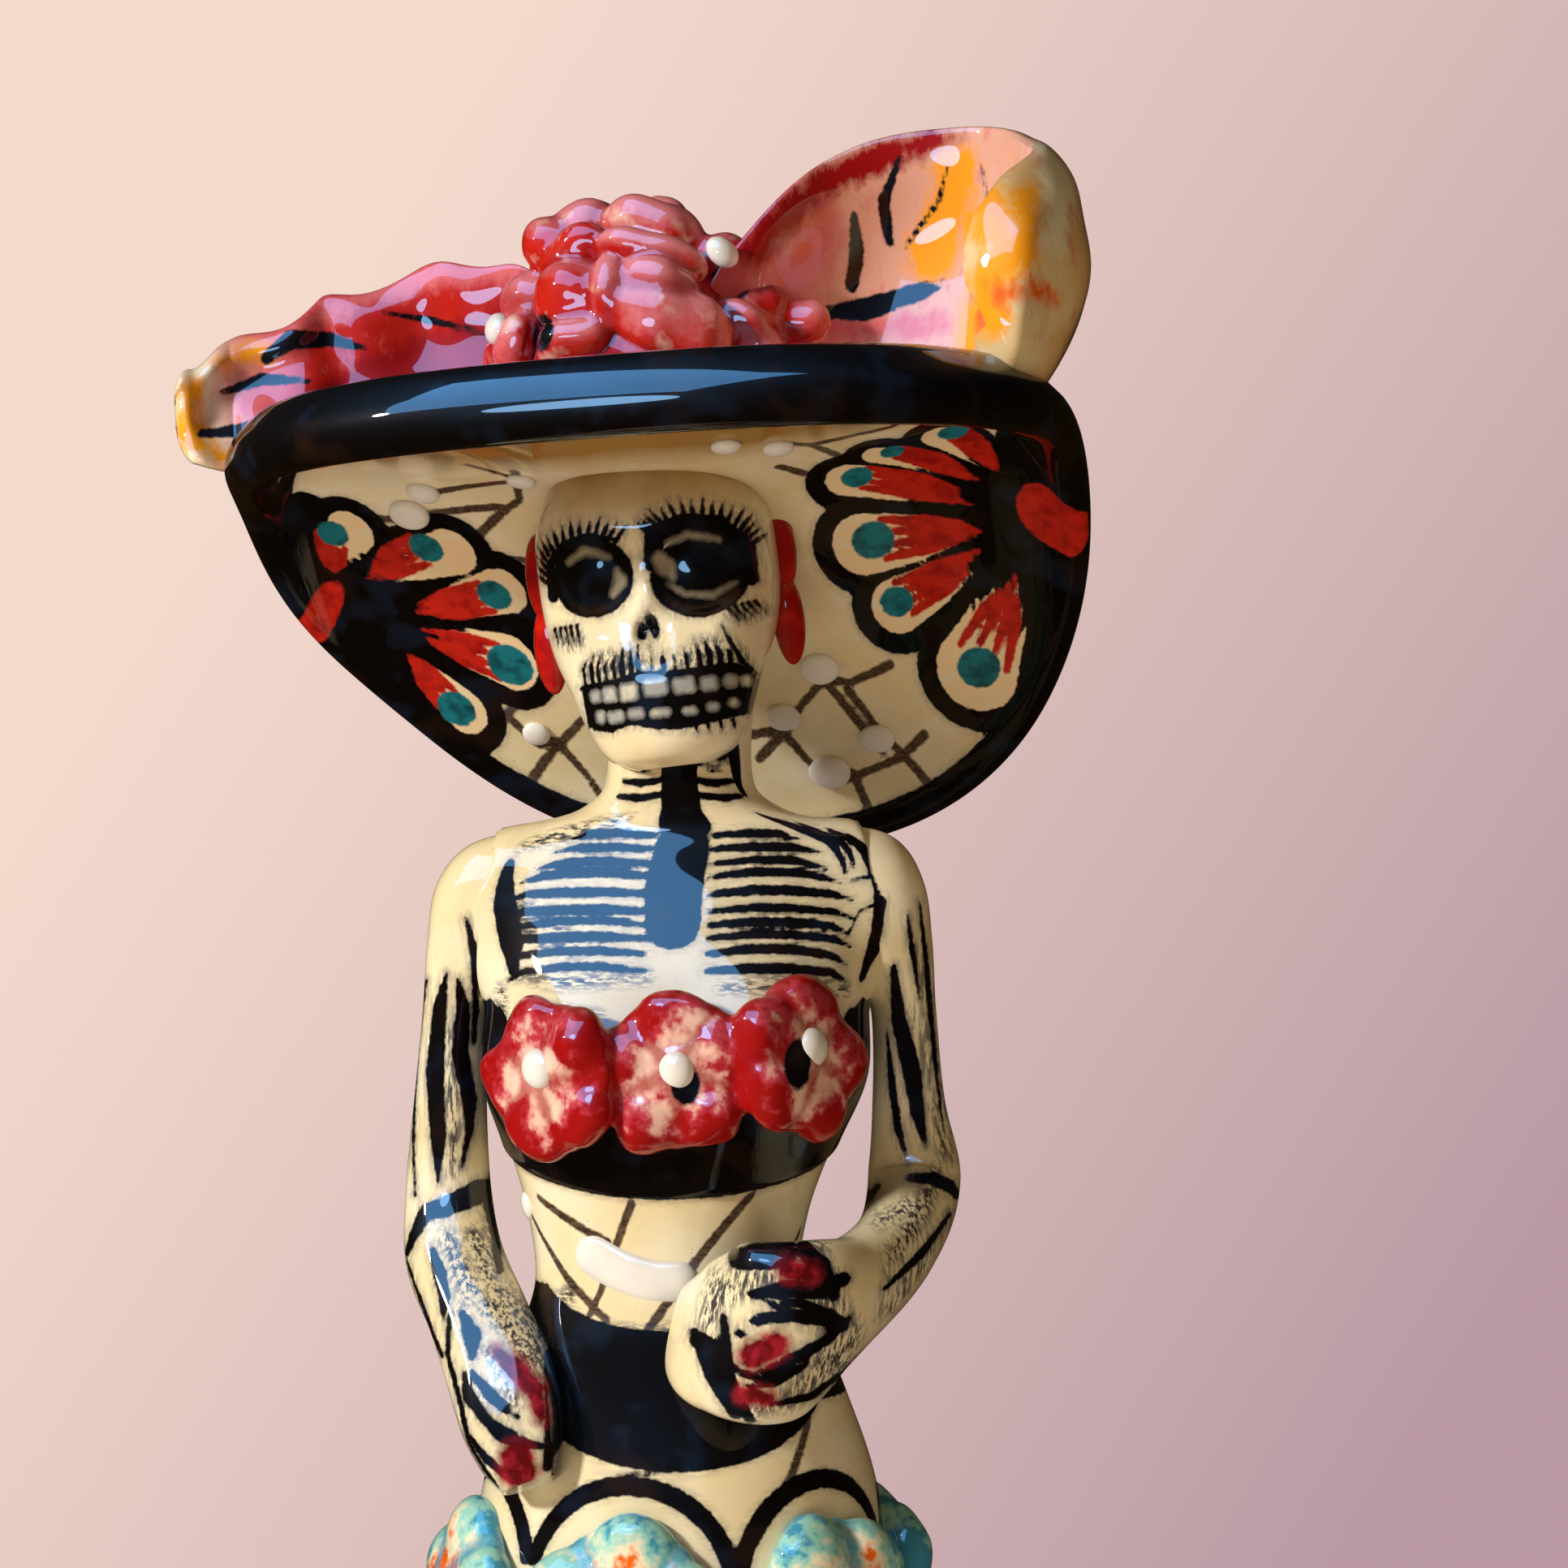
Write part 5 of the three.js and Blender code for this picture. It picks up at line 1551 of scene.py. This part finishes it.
# %% The glaze over everything
GLAZE = {
    "Roughness": 0.45,
    "Specular IOR Level": 0.1,
    "Coat Weight": 1.0,
    "Coat Roughness": 0.03,
    "Coat IOR": 1.48,
}
BUMP, FINE_GRAIN = {"Strength": 0.5, "Distance": 0.5 * MM}, 0.036


def glazed(recipe, colour, waves=0.5):
    """Finishes a recipe with the clear coat, whose surface waves a little as a dipped glaze does."""
    shader = recipe.shader.inputs
    for name, value in GLAZE.items():
        shader[name].default_value = value
    recipe.feed(shader["Base Color"], colour)
    height = recipe.noise(9, detail=1.5) * waves + recipe.noise(1.1, detail=2) * FINE_GRAIN
    bump = recipe.node("ShaderNodeBump", None, {**BUMP, "Height": height}, out="Normal")
    recipe.feed(shader["Normal"], bump)
    return recipe.material


def cream_ground(recipe):
    """Pale clay under a glaze that pools unevenly, with a few iron specks."""
    ground = recipe.blotched(14, 0.42, 5, CREAM, CREAM_PALE)
    ground = recipe.blotched(6, 0.6, 5, ground, CREAM_GREY, 0.5, detail=4, roughness=0.7)
    return recipe.blotched(0.5, 0.74, 12, ground, BROWN_THIN, 0.55, detail=1)


def brushed_black(recipe):
    """Black slip that is bluish where it is thick and brown where it is thin."""
    black = recipe.blotched(7, 0.52, 8, BLACK, BLUE_BLACK, detail=2)
    return recipe.blotched(10, 0.56, 7, black, BROWN_BLACK)


def with_black(recipe, base):
    ragged = (recipe.noise(0.9, detail=2) - 0.5) * 0.6
    return recipe.painted(base, "black", brushed_black(recipe), 0.3, ragged)


print("the glaze:", GLAZE)

# %% [markdown]
# ## Painted clay
# The body, the arms, the skull and the hat share one recipe. Brown runs under everything, then come streaks
# of a nearly dry brush, black with a thin grey wash round it, and the flat colours. Nearly every colour has
# two tones in blotches, because a brush leaves more slip in some places than in others.

# %% The painted layers
# Rows are [blotch size, detail, level, contrast, ground, blotches, soft edge, raggedness]. The teeth are the
# skull's cream layer, in greyer tones.
FLAT_COLOURS = {
    "smudge": [1.6, 3, 0.4, 4, RED_DARK, CRIMSON, 1.3, 2],
    "rose": [3, 3, 0.45, 6, RED_DEEP, PINK_DEEP, 0.8, 1],
    "pale": [3, 3, 0.5, 1, CREAM_DIM, CREAM_DIM, 0.8, 1],
    "cream": [3, 3, 0.5, 4, PETAL_CREAM, CREAM_PALE, 0.2, 1],
    "teeth": [3, 3, 0.5, 4, TOOTH_GREY, CREAM_PALE, 0.7, 1],
    "red": [2.2, 3, 0.45, 5, RED, RED_DEEP, 0.25, 1],
    "blue": [2.5, 2, 0.45, 4, TEAL, TEAL_DARK, 0.25, 1],
}
DRY = {"soft": 1.6, "level": 0.44, "contrast": 9, "share": 0.94}
THIN_BLACK = {"reach": 0.45, "soft": 1.1, "level": 0.35, "contrast": 4}


def dry_streaks(recipe, base, grain):
    """Dark streaks where the brush ran dry, broken by the clay's grain."""
    near = recipe.clamped(0.5 - recipe.layer("dry") / DRY["soft"])
    streaks = near * recipe.clamped((grain - DRY["level"]) * DRY["contrast"])
    return recipe.mix(recipe.clamped(streaks) * DRY["share"], base, BLUE_BLACK)


def washed_black(recipe, base, grain, ragged, wash):
    """Black strokes with a broken grey wash round them."""
    near = recipe.clamped(0.5 - (recipe.layer("black") - THIN_BLACK["reach"]) / THIN_BLACK["soft"])
    broken = recipe.clamped((grain - THIN_BLACK["level"]) * THIN_BLACK["contrast"])
    base = recipe.mix(near * broken * wash, base, WASH)
    return recipe.painted(base, "black", brushed_black(recipe), 0.22, ragged)


def dressed_clay(name, layers, streaks=(1, 1, 1), wash=0.5):
    """The cream body with the painted layers that its mesh holds, the lowest first."""
    recipe = Recipe(name)
    base = cream_ground(recipe)
    ragged = (recipe.noise(0.9, detail=2) - 0.5) * 0.5
    grain = recipe.noise(0.45, streaks, roughness=0.7)
    for layer in layers:
        # Painted shade: brown where the brim shades the forehead and the front of its underside.
        if layer == "brim_shade":
            base = recipe.painted(base, layer, BRIM_SHADE_BROWN, 6.5, (recipe.noise(8) - 0.5) * 5)
        elif layer == "brown":
            brown = recipe.mix(recipe.clamped((grain - 0.5) * 3 + 0.75), BROWN_THIN, BROWN)
            base = recipe.painted(base, layer, brown, 0.3, ragged)
        elif layer == "dry":
            base = dry_streaks(recipe, base, grain)
        elif layer == "black":
            base = washed_black(recipe, base, grain, ragged, wash)
        else:
            size, detail, level, contrast, ground, blotches, edge, rags = FLAT_COLOURS[layer]
            colour = recipe.blotched(size, level, contrast, ground, blotches, detail=detail)
            base = recipe.painted(base, "cream" if layer == "teeth" else layer, colour, edge, ragged * rags)
    return glazed(recipe, base)


body_clay = dressed_clay("painted_body", ["brown", "dry", "black"], (4, 4, 1))
arm_clay = dressed_clay("painted_arms", ["dry", "black", "smudge"], (1.3, 1.3, 7), 0.8)
skull_clay = dressed_clay("painted_skull", ["brim_shade", "dry", "black", "pale", "teeth"], (1, 1, 3), 0.75)
hat_layers = ["brim_shade", "brown", "black", "rose", "cream", "red", "blue"]
painted_hat_clay = dressed_clay("painted_hat", hat_layers)
print("painted clays:", body_clay.name, arm_clay.name, skull_clay.name, painted_hat_clay.name)

# %% [markdown]
# The earrings are dipped in one red, and the raised dots are a white slip that needs no paint. Their recipes
# have two close tones, since a flat colour would look like plastic.

# %% Red glaze, white slip
def red_clay(name):
    recipe = Recipe(name)
    return glazed(recipe, recipe.blotched(3, 0.5, 4, RED_DEEP, RED))


def white_slip(name):
    recipe = Recipe(name)
    return glazed(recipe, recipe.mix(recipe.noise(3, detail=2), WHITE_SLIP, WHITE_SHADE), waves=0.2)


earring_clay = red_clay("red_earrings")
white_clay = white_slip("white_slip")
print("slips:", earring_clay.name, white_clay.name)

# %% [markdown]
# ## Flower and plume glazes
# On the flowers the red runs off the high parts and pools in the creases and at the tips, so it is deep
# there and pink or white near the middle. Faces that turn up are a little pinker, as painted light from
# above. The distance from each flower's middle and from its creases is kept on the mesh for that. The plumes
# change colour along their length in broad washes with dark lines.

# %% Places in the flowers
FAR_OUT = 9.0  # in flower widths, beyond every vertex
LUMP_SHARE, LUMP_BLEND = 0.25, 8  # a lump's size beside a flower's, and how sharply lumps differ in pink


def lay_flowers(mesh, frames, width, lumps=()):
    """Keeps how far out of its flower each vertex is, how deep in a crease, how pink and how level.

    That distance is in shares of the flower's width.
    """
    spots = places_of(mesh)
    out = np.full(len(spots), FAR_OUT)
    petals = []
    for frame_here, turn, share in frames:
        away = moved(np.linalg.inv(np.array(frame_here)), spots)
        out = np.minimum(out, np.hypot(away[:, 0], away[:, 1]) / (width * share))
        for angle in petal_turns(turn):
            middle = np.array([math.cos(angle), math.sin(angle), 0]) * PETAL["out"] * width * share
            petals.append(np.linalg.norm(away - middle, axis=1) / (width * share))
    blush = weight = 1e-6
    for frame_here, (wide, tall, pink) in lumps:
        away = moved(np.linalg.inv(np.array(frame_here)), spots)
        petals.append(np.linalg.norm(away / np.array([wide, tall, LUMP_THICK]), axis=1) * LUMP_SHARE)
        share = np.exp(-((petals[-1] * LUMP_BLEND) ** 2))
        blush, weight = blush + share * pink, weight + share
    nearest = np.sort(np.stack(petals), axis=0)
    lay(mesh, "blush", blush / weight + np.zeros(len(spots)))
    lay(mesh, "out", out)
    lay(mesh, "crease", nearest[1] - nearest[0])
    # How far a face turns up, for painted light from above in the flower glazes.
    lay(mesh, "up", vectors_of(mesh, "normal")[:, 2])


bodice_frames = [(body_frame(angle, height), turn, 1) for angle, height, turn in BODICE_FLOWERS]
skirt_frames = [(body_frame(angle, height), turn, 1) for angle, height, turn in SKIRT_FLOWERS]
hat_frames = [(hat_frame(angle, rise), turn, share) for angle, rise, turn, share in HAT_FLOWERS]
hat_lumps = [(frame_here, row[2:]) for frame_here, row in zip(lump_frames, HAT_LUMPS)]
lay_flowers(bodice_flowers_mesh, bodice_frames, BODICE_WIDTH)
lay_flowers(skirt_flowers_mesh, skirt_frames, SKIRT_WIDTH)
lay_flowers(hat_flowers_mesh, hat_frames, HAT_FLOWER_WIDTH, hat_lumps)
# Rows are [centre, half sizes] of the black crescents beside the white dots, seen from the front: painted
# shadow that each dot casts away from the light. They are painted only in front of a depth, in millimetres
# behind her middle.
BODICE_DOT_SHADOWS = [[(14.4, 203.3), (1.6, 3)], [(1.2, 200.8), (1.7, 2.3)]]
HAT_DOT_SHADOWS = [[(6.2, 298), (2.6, 2.3)], [(-16.6, 291.3), (1.5, 2.4)]]
DOT_SHADOW_DEPTH = 2
for mesh, dot_shadows in ((bodice_flowers_mesh, BODICE_DOT_SHADOWS), (hat_flowers_mesh, HAT_DOT_SHADOWS)):
    spots = places_of(mesh)
    behind = spots[:, 1] - DOT_SHADOW_DEPTH
    lay(mesh, "black", *(np.maximum(oval(spots[:, [0, 2]], *row), behind) for row in dot_shadows))
print("flowers with layers:", len(bodice_frames + skirt_frames + hat_frames))


# %% Flowers in red and turquoise
def with_creases(recipe, base, patchy, bend, share, deep):
    """Deep colour in the creases, with a patchy edge."""
    creased = recipe.clamped((0.1 - recipe.layer("crease") + patchy * bend) * 14)
    return recipe.mix(creased * share, base, deep)


def flower_clay(name, middle, pale, strong, deep, shift=0.0):
    """Colours from the middle out. Shift above 0 makes the strong ones reach further in."""
    recipe = Recipe(name)
    patchy = (recipe.noise(3.4, roughness=0.6) - 0.5) * 0.9
    out = recipe.layer("out") + patchy + shift
    base = recipe.mix(recipe.clamped((out - 0.12) * 8), middle, pale)
    base = recipe.mix(recipe.clamped((out - 0.25) * 8), base, strong)
    # Faces turned up keep less of the deep colour: painted light from above.
    base = recipe.mix(recipe.clamped((out - 0.36 - recipe.layer("up") * 0.1) * 9), base, deep)
    return recipe, with_creases(recipe, base, patchy, 0.2, 0.7, deep)


def hat_flower_recipe(name):
    """Red lumps, pink where their rows say, and pinker on top as painted light from above."""
    recipe = Recipe(name)
    patchy = (recipe.noise(3.4, roughness=0.6) - 0.5) * 2
    # Pinker on top is painted light; the rows' blush is the lumps' own colour.
    pink = recipe.layer("up") * 1.3 + recipe.layer("blush") * 1.2 - 0.6 + patchy
    base = recipe.mix(recipe.clamped(pink), RED, PINK_MID)
    base = recipe.blotched(5, 0.58, 9, base, PINK_PALE, 0.7)
    return recipe, with_creases(recipe, base, patchy, 0.05, 0.6, RED_DEEP)


recipe, base = flower_clay("bodice_flower_glaze", BLUSH_PALE, BLUSH, PINK_DEEP, RED_DEEP, 0.08)
bodice_flower_clay = glazed(recipe, with_black(recipe, base))
recipe, base = hat_flower_recipe("hat_flower_glaze")
hat_flower_clay = glazed(recipe, with_black(recipe, base))
recipe, base = flower_clay("turquoise_flowers", ORANGE, SHELL, TURQUOISE, SKY)
turquoise_clay = glazed(recipe, base)
print("flower glazes:", bodice_flower_clay.name, hat_flower_clay.name, turquoise_clay.name)

# %% Plumes in washes of colour
# Rows are [place along the plume, colour].
SWEPT_WASHES = [
    [0, PINK_DEEP], [0.15, RED], [0.55, RED], [0.68, PINK], [0.78, PINK_PALE], [0.86, CREAM_PALE],
    [1, CREAM_PALE],
]
CURLED_WASHES = [
    [0, TAN], [0.12, CREAM], [0.24, TAN], [0.36, PEACH], [0.46, PEACH], [0.7, PEACH], [0.8, PINK], [1, RED],
]
# The patches and lines are drawn as seen from the front. Rows are [half widths, places...], across and up.
SWEPT_PATCHES = {
    "deep": [[(2.5, 4, 4, 3), (-44, 283.5), (-37.7, 286.5), (-29.3, 288.8), (-21.5, 293.7)]],
    "rosy": [[(1, 1.6, 1.7, 1.6), (-50, 291), (-43.4, 296), (-37.7, 299), (-30, 300.5), (-21, 301)]],
    "amber": [[(1.2, 1.6, 1), (-60.4, 284.5), (-60, 279), (-55, 276)], [(1, 1), (-53, 277.5), (-48, 278.5)],
              [(0.8, 1.2), (-56, 288.5), (-52, 290.5)]],
    "black": [[(0.7, 1.3, 1, 0.3), (-51.5, 289.2), (-48.5, 291.6), (-44, 292), (-39.5, 290.8)],
              [(0.4, 0.9, 0.8, 0.4), (-56.5, 284.8), (-52, 286.6), (-46.2, 286.4)],
              [(0.6, 1.1, 1.1, 0.5), (-58.5, 279.4), (-52, 280.2), (-44.1, 281.6)],
              [(0.2, 0.5, 0.3), (-37.7, 295.6), (-31.4, 294.6), (-24.3, 292.7)]],
}
CURLED_PATCHES = {
    "deep": [[(2, 2.2, 2, 1.6, 1), (9, 302), (14.5, 308), (20.5, 312.6), (27, 315.6), (33.5, 316.6)]],
    "rosy": [[(2, 2.6, 2, 1.4), (12, 296), (16, 301), (17.6, 304), (19, 307)],
             [(1.5, 1.5), (16, 293), (32, 293.5)]],
    "amber": [[(2.6, 3, 3), (34.3, 312.7), (33.5, 307.6), (31, 301.8)], [(2, 2.4), (36.4, 306), (37.9, 301)],
              [(1.8, 2.2, 2.6, 2.4), (41.5, 305.4), (40.8, 300.3), (37, 295.2), (36.5, 290.9)]],
    "rust": [[(1.3, 1.7, 1), (38, 293.6), (43.7, 293.8)]],
    # The pale strip down the roll is a painted highlight.
    "pale": [[(1.4, 2, 1.6), (44.4, 313), (46, 308), (44.6, 300.3)]],
    "black": [[(0.3, 0.8, 0.6), (27.2, 314.4), (25.2, 309), (25.9, 304)],
              [(0.5, 1, 0.9), (21.5, 307.2), (21.9, 302.5), (21.2, 298.4)],
              [(0.15, 0.4, 0.3), (33.3, 314), (32.1, 309), (27.9, 303.4)],
              [(0.15, 0.3, 0.2), (37.2, 313.4), (37.9, 309)],
              # Along the plume's foot: a painted dark reflection.
              [(0.8, 1.5, 1.2, 0.4), (17.6, 294.9), (22.6, 295.4), (29.9, 297.8), (33, 299)]],
}
# The curled plume's pale patch is a painted highlight.
PATCH_COLOURS = {"deep": RED_DEEP, "rosy": PINK, "amber": AMBER, "rust": ORANGE, "pale": CREAM_PALE}


def plume_clay(name, mesh, washes, patches):
    """Washes along the plume, then soft patches of colour, then dark lines."""
    front = places_of(mesh)[:, [0, 2]]
    for colour, rows in patches.items():
        lay(mesh, colour, strokes(front, rows))
    recipe = Recipe(name)
    along = recipe.layer(ALONG) + (recipe.noise(7, roughness=0.6) - 0.5) * 0.22
    base = washes[0][1]
    for (start, _), (end, colour) in zip(washes, washes[1:]):
        base = recipe.mix(recipe.clamped((along - start) / (end - start)), base, colour)
    mottled = recipe.noise(3, (1, 1, 2), detail=5, roughness=0.7)
    base = recipe.mix(recipe.clamped((mottled - 0.56) * 9) * 0.5, base, PINK)
    for colour, tint in PATCH_COLOURS.items():
        if colour in patches:
            base = recipe.painted(base, colour, tint, 2, (mottled - 0.5) * 7)
    return glazed(recipe, with_black(recipe, base), waves=0.8)


swept_clay = plume_clay("swept_plume_glaze", swept_mesh, SWEPT_WASHES, SWEPT_PATCHES)
curled_clay = plume_clay("curled_plume_glaze", curled_mesh, CURLED_WASHES, CURLED_PATCHES)
print("plume glazes:", swept_clay.name, curled_clay.name)

# %% [markdown]
# ## Dots of white slip
# A drop of thick white slip from a bulb stands up as a small dome. Each is a ball pressed flat on the
# surface that carries it. They sit on the brim's net, in the flowers and along the waist. Drops that touch
# have run together, which a voxel remesh does as well.

# %% White dots
DOT_SINK = 0.25  # how much of a dot is under the surface, as a share of its radius
# Rows are [across, back, radius] under the brim, from above.
BRIM_DOTS = [
    [-33.8, 2.1, 2.7], [-30.4, -2.6, 2.2], [-27, 30.6, 1.95], [-15.8, -9, 1.9], [13.2, 23.7, 2.6],
    [6.8, 29.4, 2.3], [18.2, 33.4, 2.4], [10.9, 37, 2.8], [17.5, -13, 2], [12, -16.9, 1.9], [-12, 34, 2.2],
]
# Rows are [angle from the front, height, radius, how far it stands out] in the flowers.
FLOWER_DOTS = [[-0.63, 202.4, 2.3, 2.6], [0.03, 202.2, 2.25, 2.6], [0.66, 204.4, 2.4, 2.6]]
# Rows are [across, up, half width, half height] of the two on the hat.
HAT_DOTS = [[-18.7, 291.4, 2, 2.6], [3, 299, 2.3, 1.9]]
HAT_DOT_THICK = 1.6
# Rows are [share along it, angle, height] of the bean of slip on the waist.
BEAN = [[0, -0.55, 179.6], [0.33, -0.36, 178.1], [0.66, -0.12, 176.9], [1, 0.09, 176.7]]
BEAN_RADIUS, BEAN_DROPS = 2.65, 21
# Rows are [angle, height, radius] of the single dots round the waist.
WAIST_DOTS = [[-1.41, 184.9, 1.9], [2.4, 180, 2.2]]
BRIM_FLAT, WAIST_FLAT = 0.45, 0.5  # thickness of a dot, as a share of its width


def dot(clay, frame_here, radius, flat):
    sink = Matrix.Translation((0, 0, -DOT_SINK * radius * flat))
    ball(clay, frame_here @ sink, (radius, radius, radius * flat), FINE)


def under_brim(x, y):
    """A frame on the underside of the brim, facing down."""
    def surface(across, back):
        angle = np.arctan2(back, across)
        out = np.hypot(across, back) / edge_reach(angle)
        return hat_point(angle, out * BRIM_TO)

    return Matrix(HAT.tolist()) @ surface_frame(surface, x, y, 0.5)


dots_clay = bmesh.new()
for x, y, radius in BRIM_DOTS:
    dot(dots_clay, under_brim(x, y), radius, BRIM_FLAT)
for angle, height, radius, out in FLOWER_DOTS:
    place = body_frame(angle, height) @ Matrix.Translation((0, 0, out))
    ball(dots_clay, place, (radius, radius * 1.12, radius * 0.75), FINE)
for across, up, wide, tall in HAT_DOTS:
    place = on_crown(across, up) @ Matrix.Translation((0, 0, LUMP_THICK))
    ball(dots_clay, place, (wide, tall, HAT_DOT_THICK), FINE)
for share in np.linspace(0, 1, BEAN_DROPS):
    dot(dots_clay, body_frame(*read(BEAN, np.array(share))), BEAN_RADIUS, WAIST_FLAT)
for angle, height, radius in WAIST_DOTS:
    dot(dots_clay, body_frame(angle, height), radius, WAIST_FLAT)
white_dots_mesh = melted("white_dots", dots_clay, voxel=0.22, rounds=4)
print("white dots of", len(white_dots_mesh.vertices), "vertices")

# %% [markdown]
# ## The pieces
# Each skin becomes a piece that rides on the one body and stands for the frame's solid. They overlap inside
# each other, as the clay parts do where they were pressed together, so they need no boolean.

# %% The pieces
PIECES = [
    ["lady_body", body_mesh, body_clay],
    ["lady_right_arm", right_arm_mesh, arm_clay],
    ["lady_left_arm", left_arm_mesh, arm_clay],
    ["lady_skull", skull_mesh, skull_clay],
    ["lady_hat", hat_mesh, painted_hat_clay],
    ["bodice_flowers", bodice_flowers_mesh, bodice_flower_clay],
    ["skirt_flowers", skirt_flowers_mesh, turquoise_clay],
    ["hat_flowers", hat_flowers_mesh, hat_flower_clay],
    ["swept_plume", swept_mesh, swept_clay],
    ["curled_plume", curled_mesh, curled_clay],
    ["lady_earrings", earrings_mesh, earring_clay],
    ["white_dots", white_dots_mesh, white_clay],
]
for name, mesh, clay in PIECES:
    finished(name, mesh, clay)

# %% [markdown]
# ## The room
# She stands on a plain pale floor that fades into a pale wall of light. A low warm key from her right models
# the forms, and a weak fill and a bounce near the floor open the shade under the brim. The glaze mirrors
# other lights: a small glint, a blue panel over her that streaks the lip and the chest, and a small one
# before the face that lights up the sockets. One lamp for both would tie the size of its streaks to the
# light that it sheds.

# %% The floor
FLOOR_RADIUS, FLOOR_FADE = 0.7, 0.35
ROOM_COLOUR = (0.86, 0.74, 0.67, 1)
floor_clay = bmesh.new()
bmesh.ops.create_circle(floor_clay, cap_ends=True, segments=128, radius=FLOOR_RADIUS)
floor_mesh = meshed("floor", floor_clay)
floor_finish = Recipe("pale_floor")
floor_shader = floor_finish.shader.inputs
floor_finish.feed(floor_shader["Base Color"], ROOM_COLOUR)
floor_finish.feed(floor_shader["Roughness"], 0.8)
from_middle = floor_finish.node(
    "ShaderNodeVectorMath", {"operation": "LENGTH"}, {0: floor_finish.place}, out="Value")
floor_finish.feed(floor_shader["Alpha"], floor_finish.clamped((FLOOR_RADIUS - from_middle) / FLOOR_FADE))
floor_mesh.materials.append(floor_finish.material)
floor = bpy.data.objects.new("floor", floor_mesh)
bpy.context.collection.objects.link(floor)
floor.visible_glossy = False  # so that the glaze stays dark below
print("the floor is", 2 * FLOOR_RADIUS, "m across")

# %% The air
WALL, WALL_SHADE = (0.9, 0.7, 0.61, 1), (0.49, 0.32, 0.37, 1)
WALL_FADE = {"start": 0.42, "across": 2.6, "up": 1.6}
AIR_BELOW, AIR_ABOVE = (0.26, 0.13, 0.025, 1), (0.1, 0.08, 0.05, 1)  # what lights the figure
AIR_FADE = 0.8
MIRRORED_DIM = 0.92  # how much darker the air is in the glaze, so that black stays black
DARK = (0, 0, 0, 1)


class Air(Recipe):
    """The world's nodes, made in the same way as a material's."""

    def __init__(self, name):
        self.world = bpy.data.worlds.new(name)
        self.world.use_nodes = True
        self.tree = self.world.node_tree
        self.shader = self.tree.nodes["Background"]
        self.place = self.node("ShaderNodeTexCoord", out="Generated")


air = Air("pale_room")
bpy.context.scene.world = air.world
aside, up = (air.node("ShaderNodeSeparateXYZ", None, {0: air.place}, out=axis) for axis in ("X", "Z"))
shade = air.clamped(WALL_FADE["start"] + aside * WALL_FADE["across"] - up * WALL_FADE["up"])
glow = air.mix(air.clamped(0.5 + up * AIR_FADE), AIR_BELOW, AIR_ABOVE)
mirrored = air.node("ShaderNodeLightPath", out="Is Glossy Ray")
glow = air.mix(mirrored * MIRRORED_DIM, glow, DARK)
seen = air.node("ShaderNodeLightPath", out="Is Camera Ray")
air.feed(air.shader.inputs["Color"], air.mix(seen, glow, air.mix(shade, WALL, WALL_SHADE)))
print("the air has", len(air.tree.nodes), "nodes")

# %% The lights
MIDDLE, FACE_FRONT = Vector((0, 0, 0.2)), Vector((-0.008, -0.014, 0.257))
# Rows are [name, place, aim, shape, width, height, energy, colour, what it shows on].
LIGHTS = [
    ["key", (-0.85, -0.62, 0.62), MIDDLE, "ELLIPSE", 0.14, 0.14, 14, (1, 0.93, 0.82), "clay"],
    ["glint", (-1, -0.35, 0.8), MIDDLE, "ELLIPSE", 0.09, 0.09, 4, (1, 0.95, 0.88), "glaze"],
    ["sky_panel", (-0.31, -0.385, 0.96), MIDDLE, "RECTANGLE", 0.95, 0.8, 17, (0.16, 0.48, 1), "glaze"],
    ["fill", (0.9, -0.7, 0.3), MIDDLE, "ELLIPSE", 0.7, 0.7, 1, (1, 0.8, 0.55), "clay"],
    ["face_panel", (-0.05, -0.13, 0.302), FACE_FRONT, "ELLIPSE", 0.075, 0.035, 0.1, (0.3, 0.6, 1), "glaze"],
    ["bounce", (-0.1, -0.34, 0.03), MIDDLE, "ELLIPSE", 0.5, 0.2, 0.5, (1, 0.8, 0.55), "clay"],
]
for name, place, aim, shape, wide, tall, energy, colour, target in LIGHTS:
    lamp = bpy.data.lights.new(name, "AREA")
    lamp.shape, lamp.size, lamp.size_y = shape, wide, tall
    lamp.energy, lamp.color = energy, colour
    light = bpy.data.objects.new(name, lamp)
    light.location = place
    light.rotation_euler = (aim - light.location).to_track_quat("-Z", "Y").to_euler()
    light.visible_diffuse = target == "clay"
    light.visible_glossy = target == "glaze"
    light.visible_camera = False
    bpy.context.collection.objects.link(light)
bpy.context.scene.view_settings.view_transform = "Standard"
print("lights:", [row[0] for row in LIGHTS])
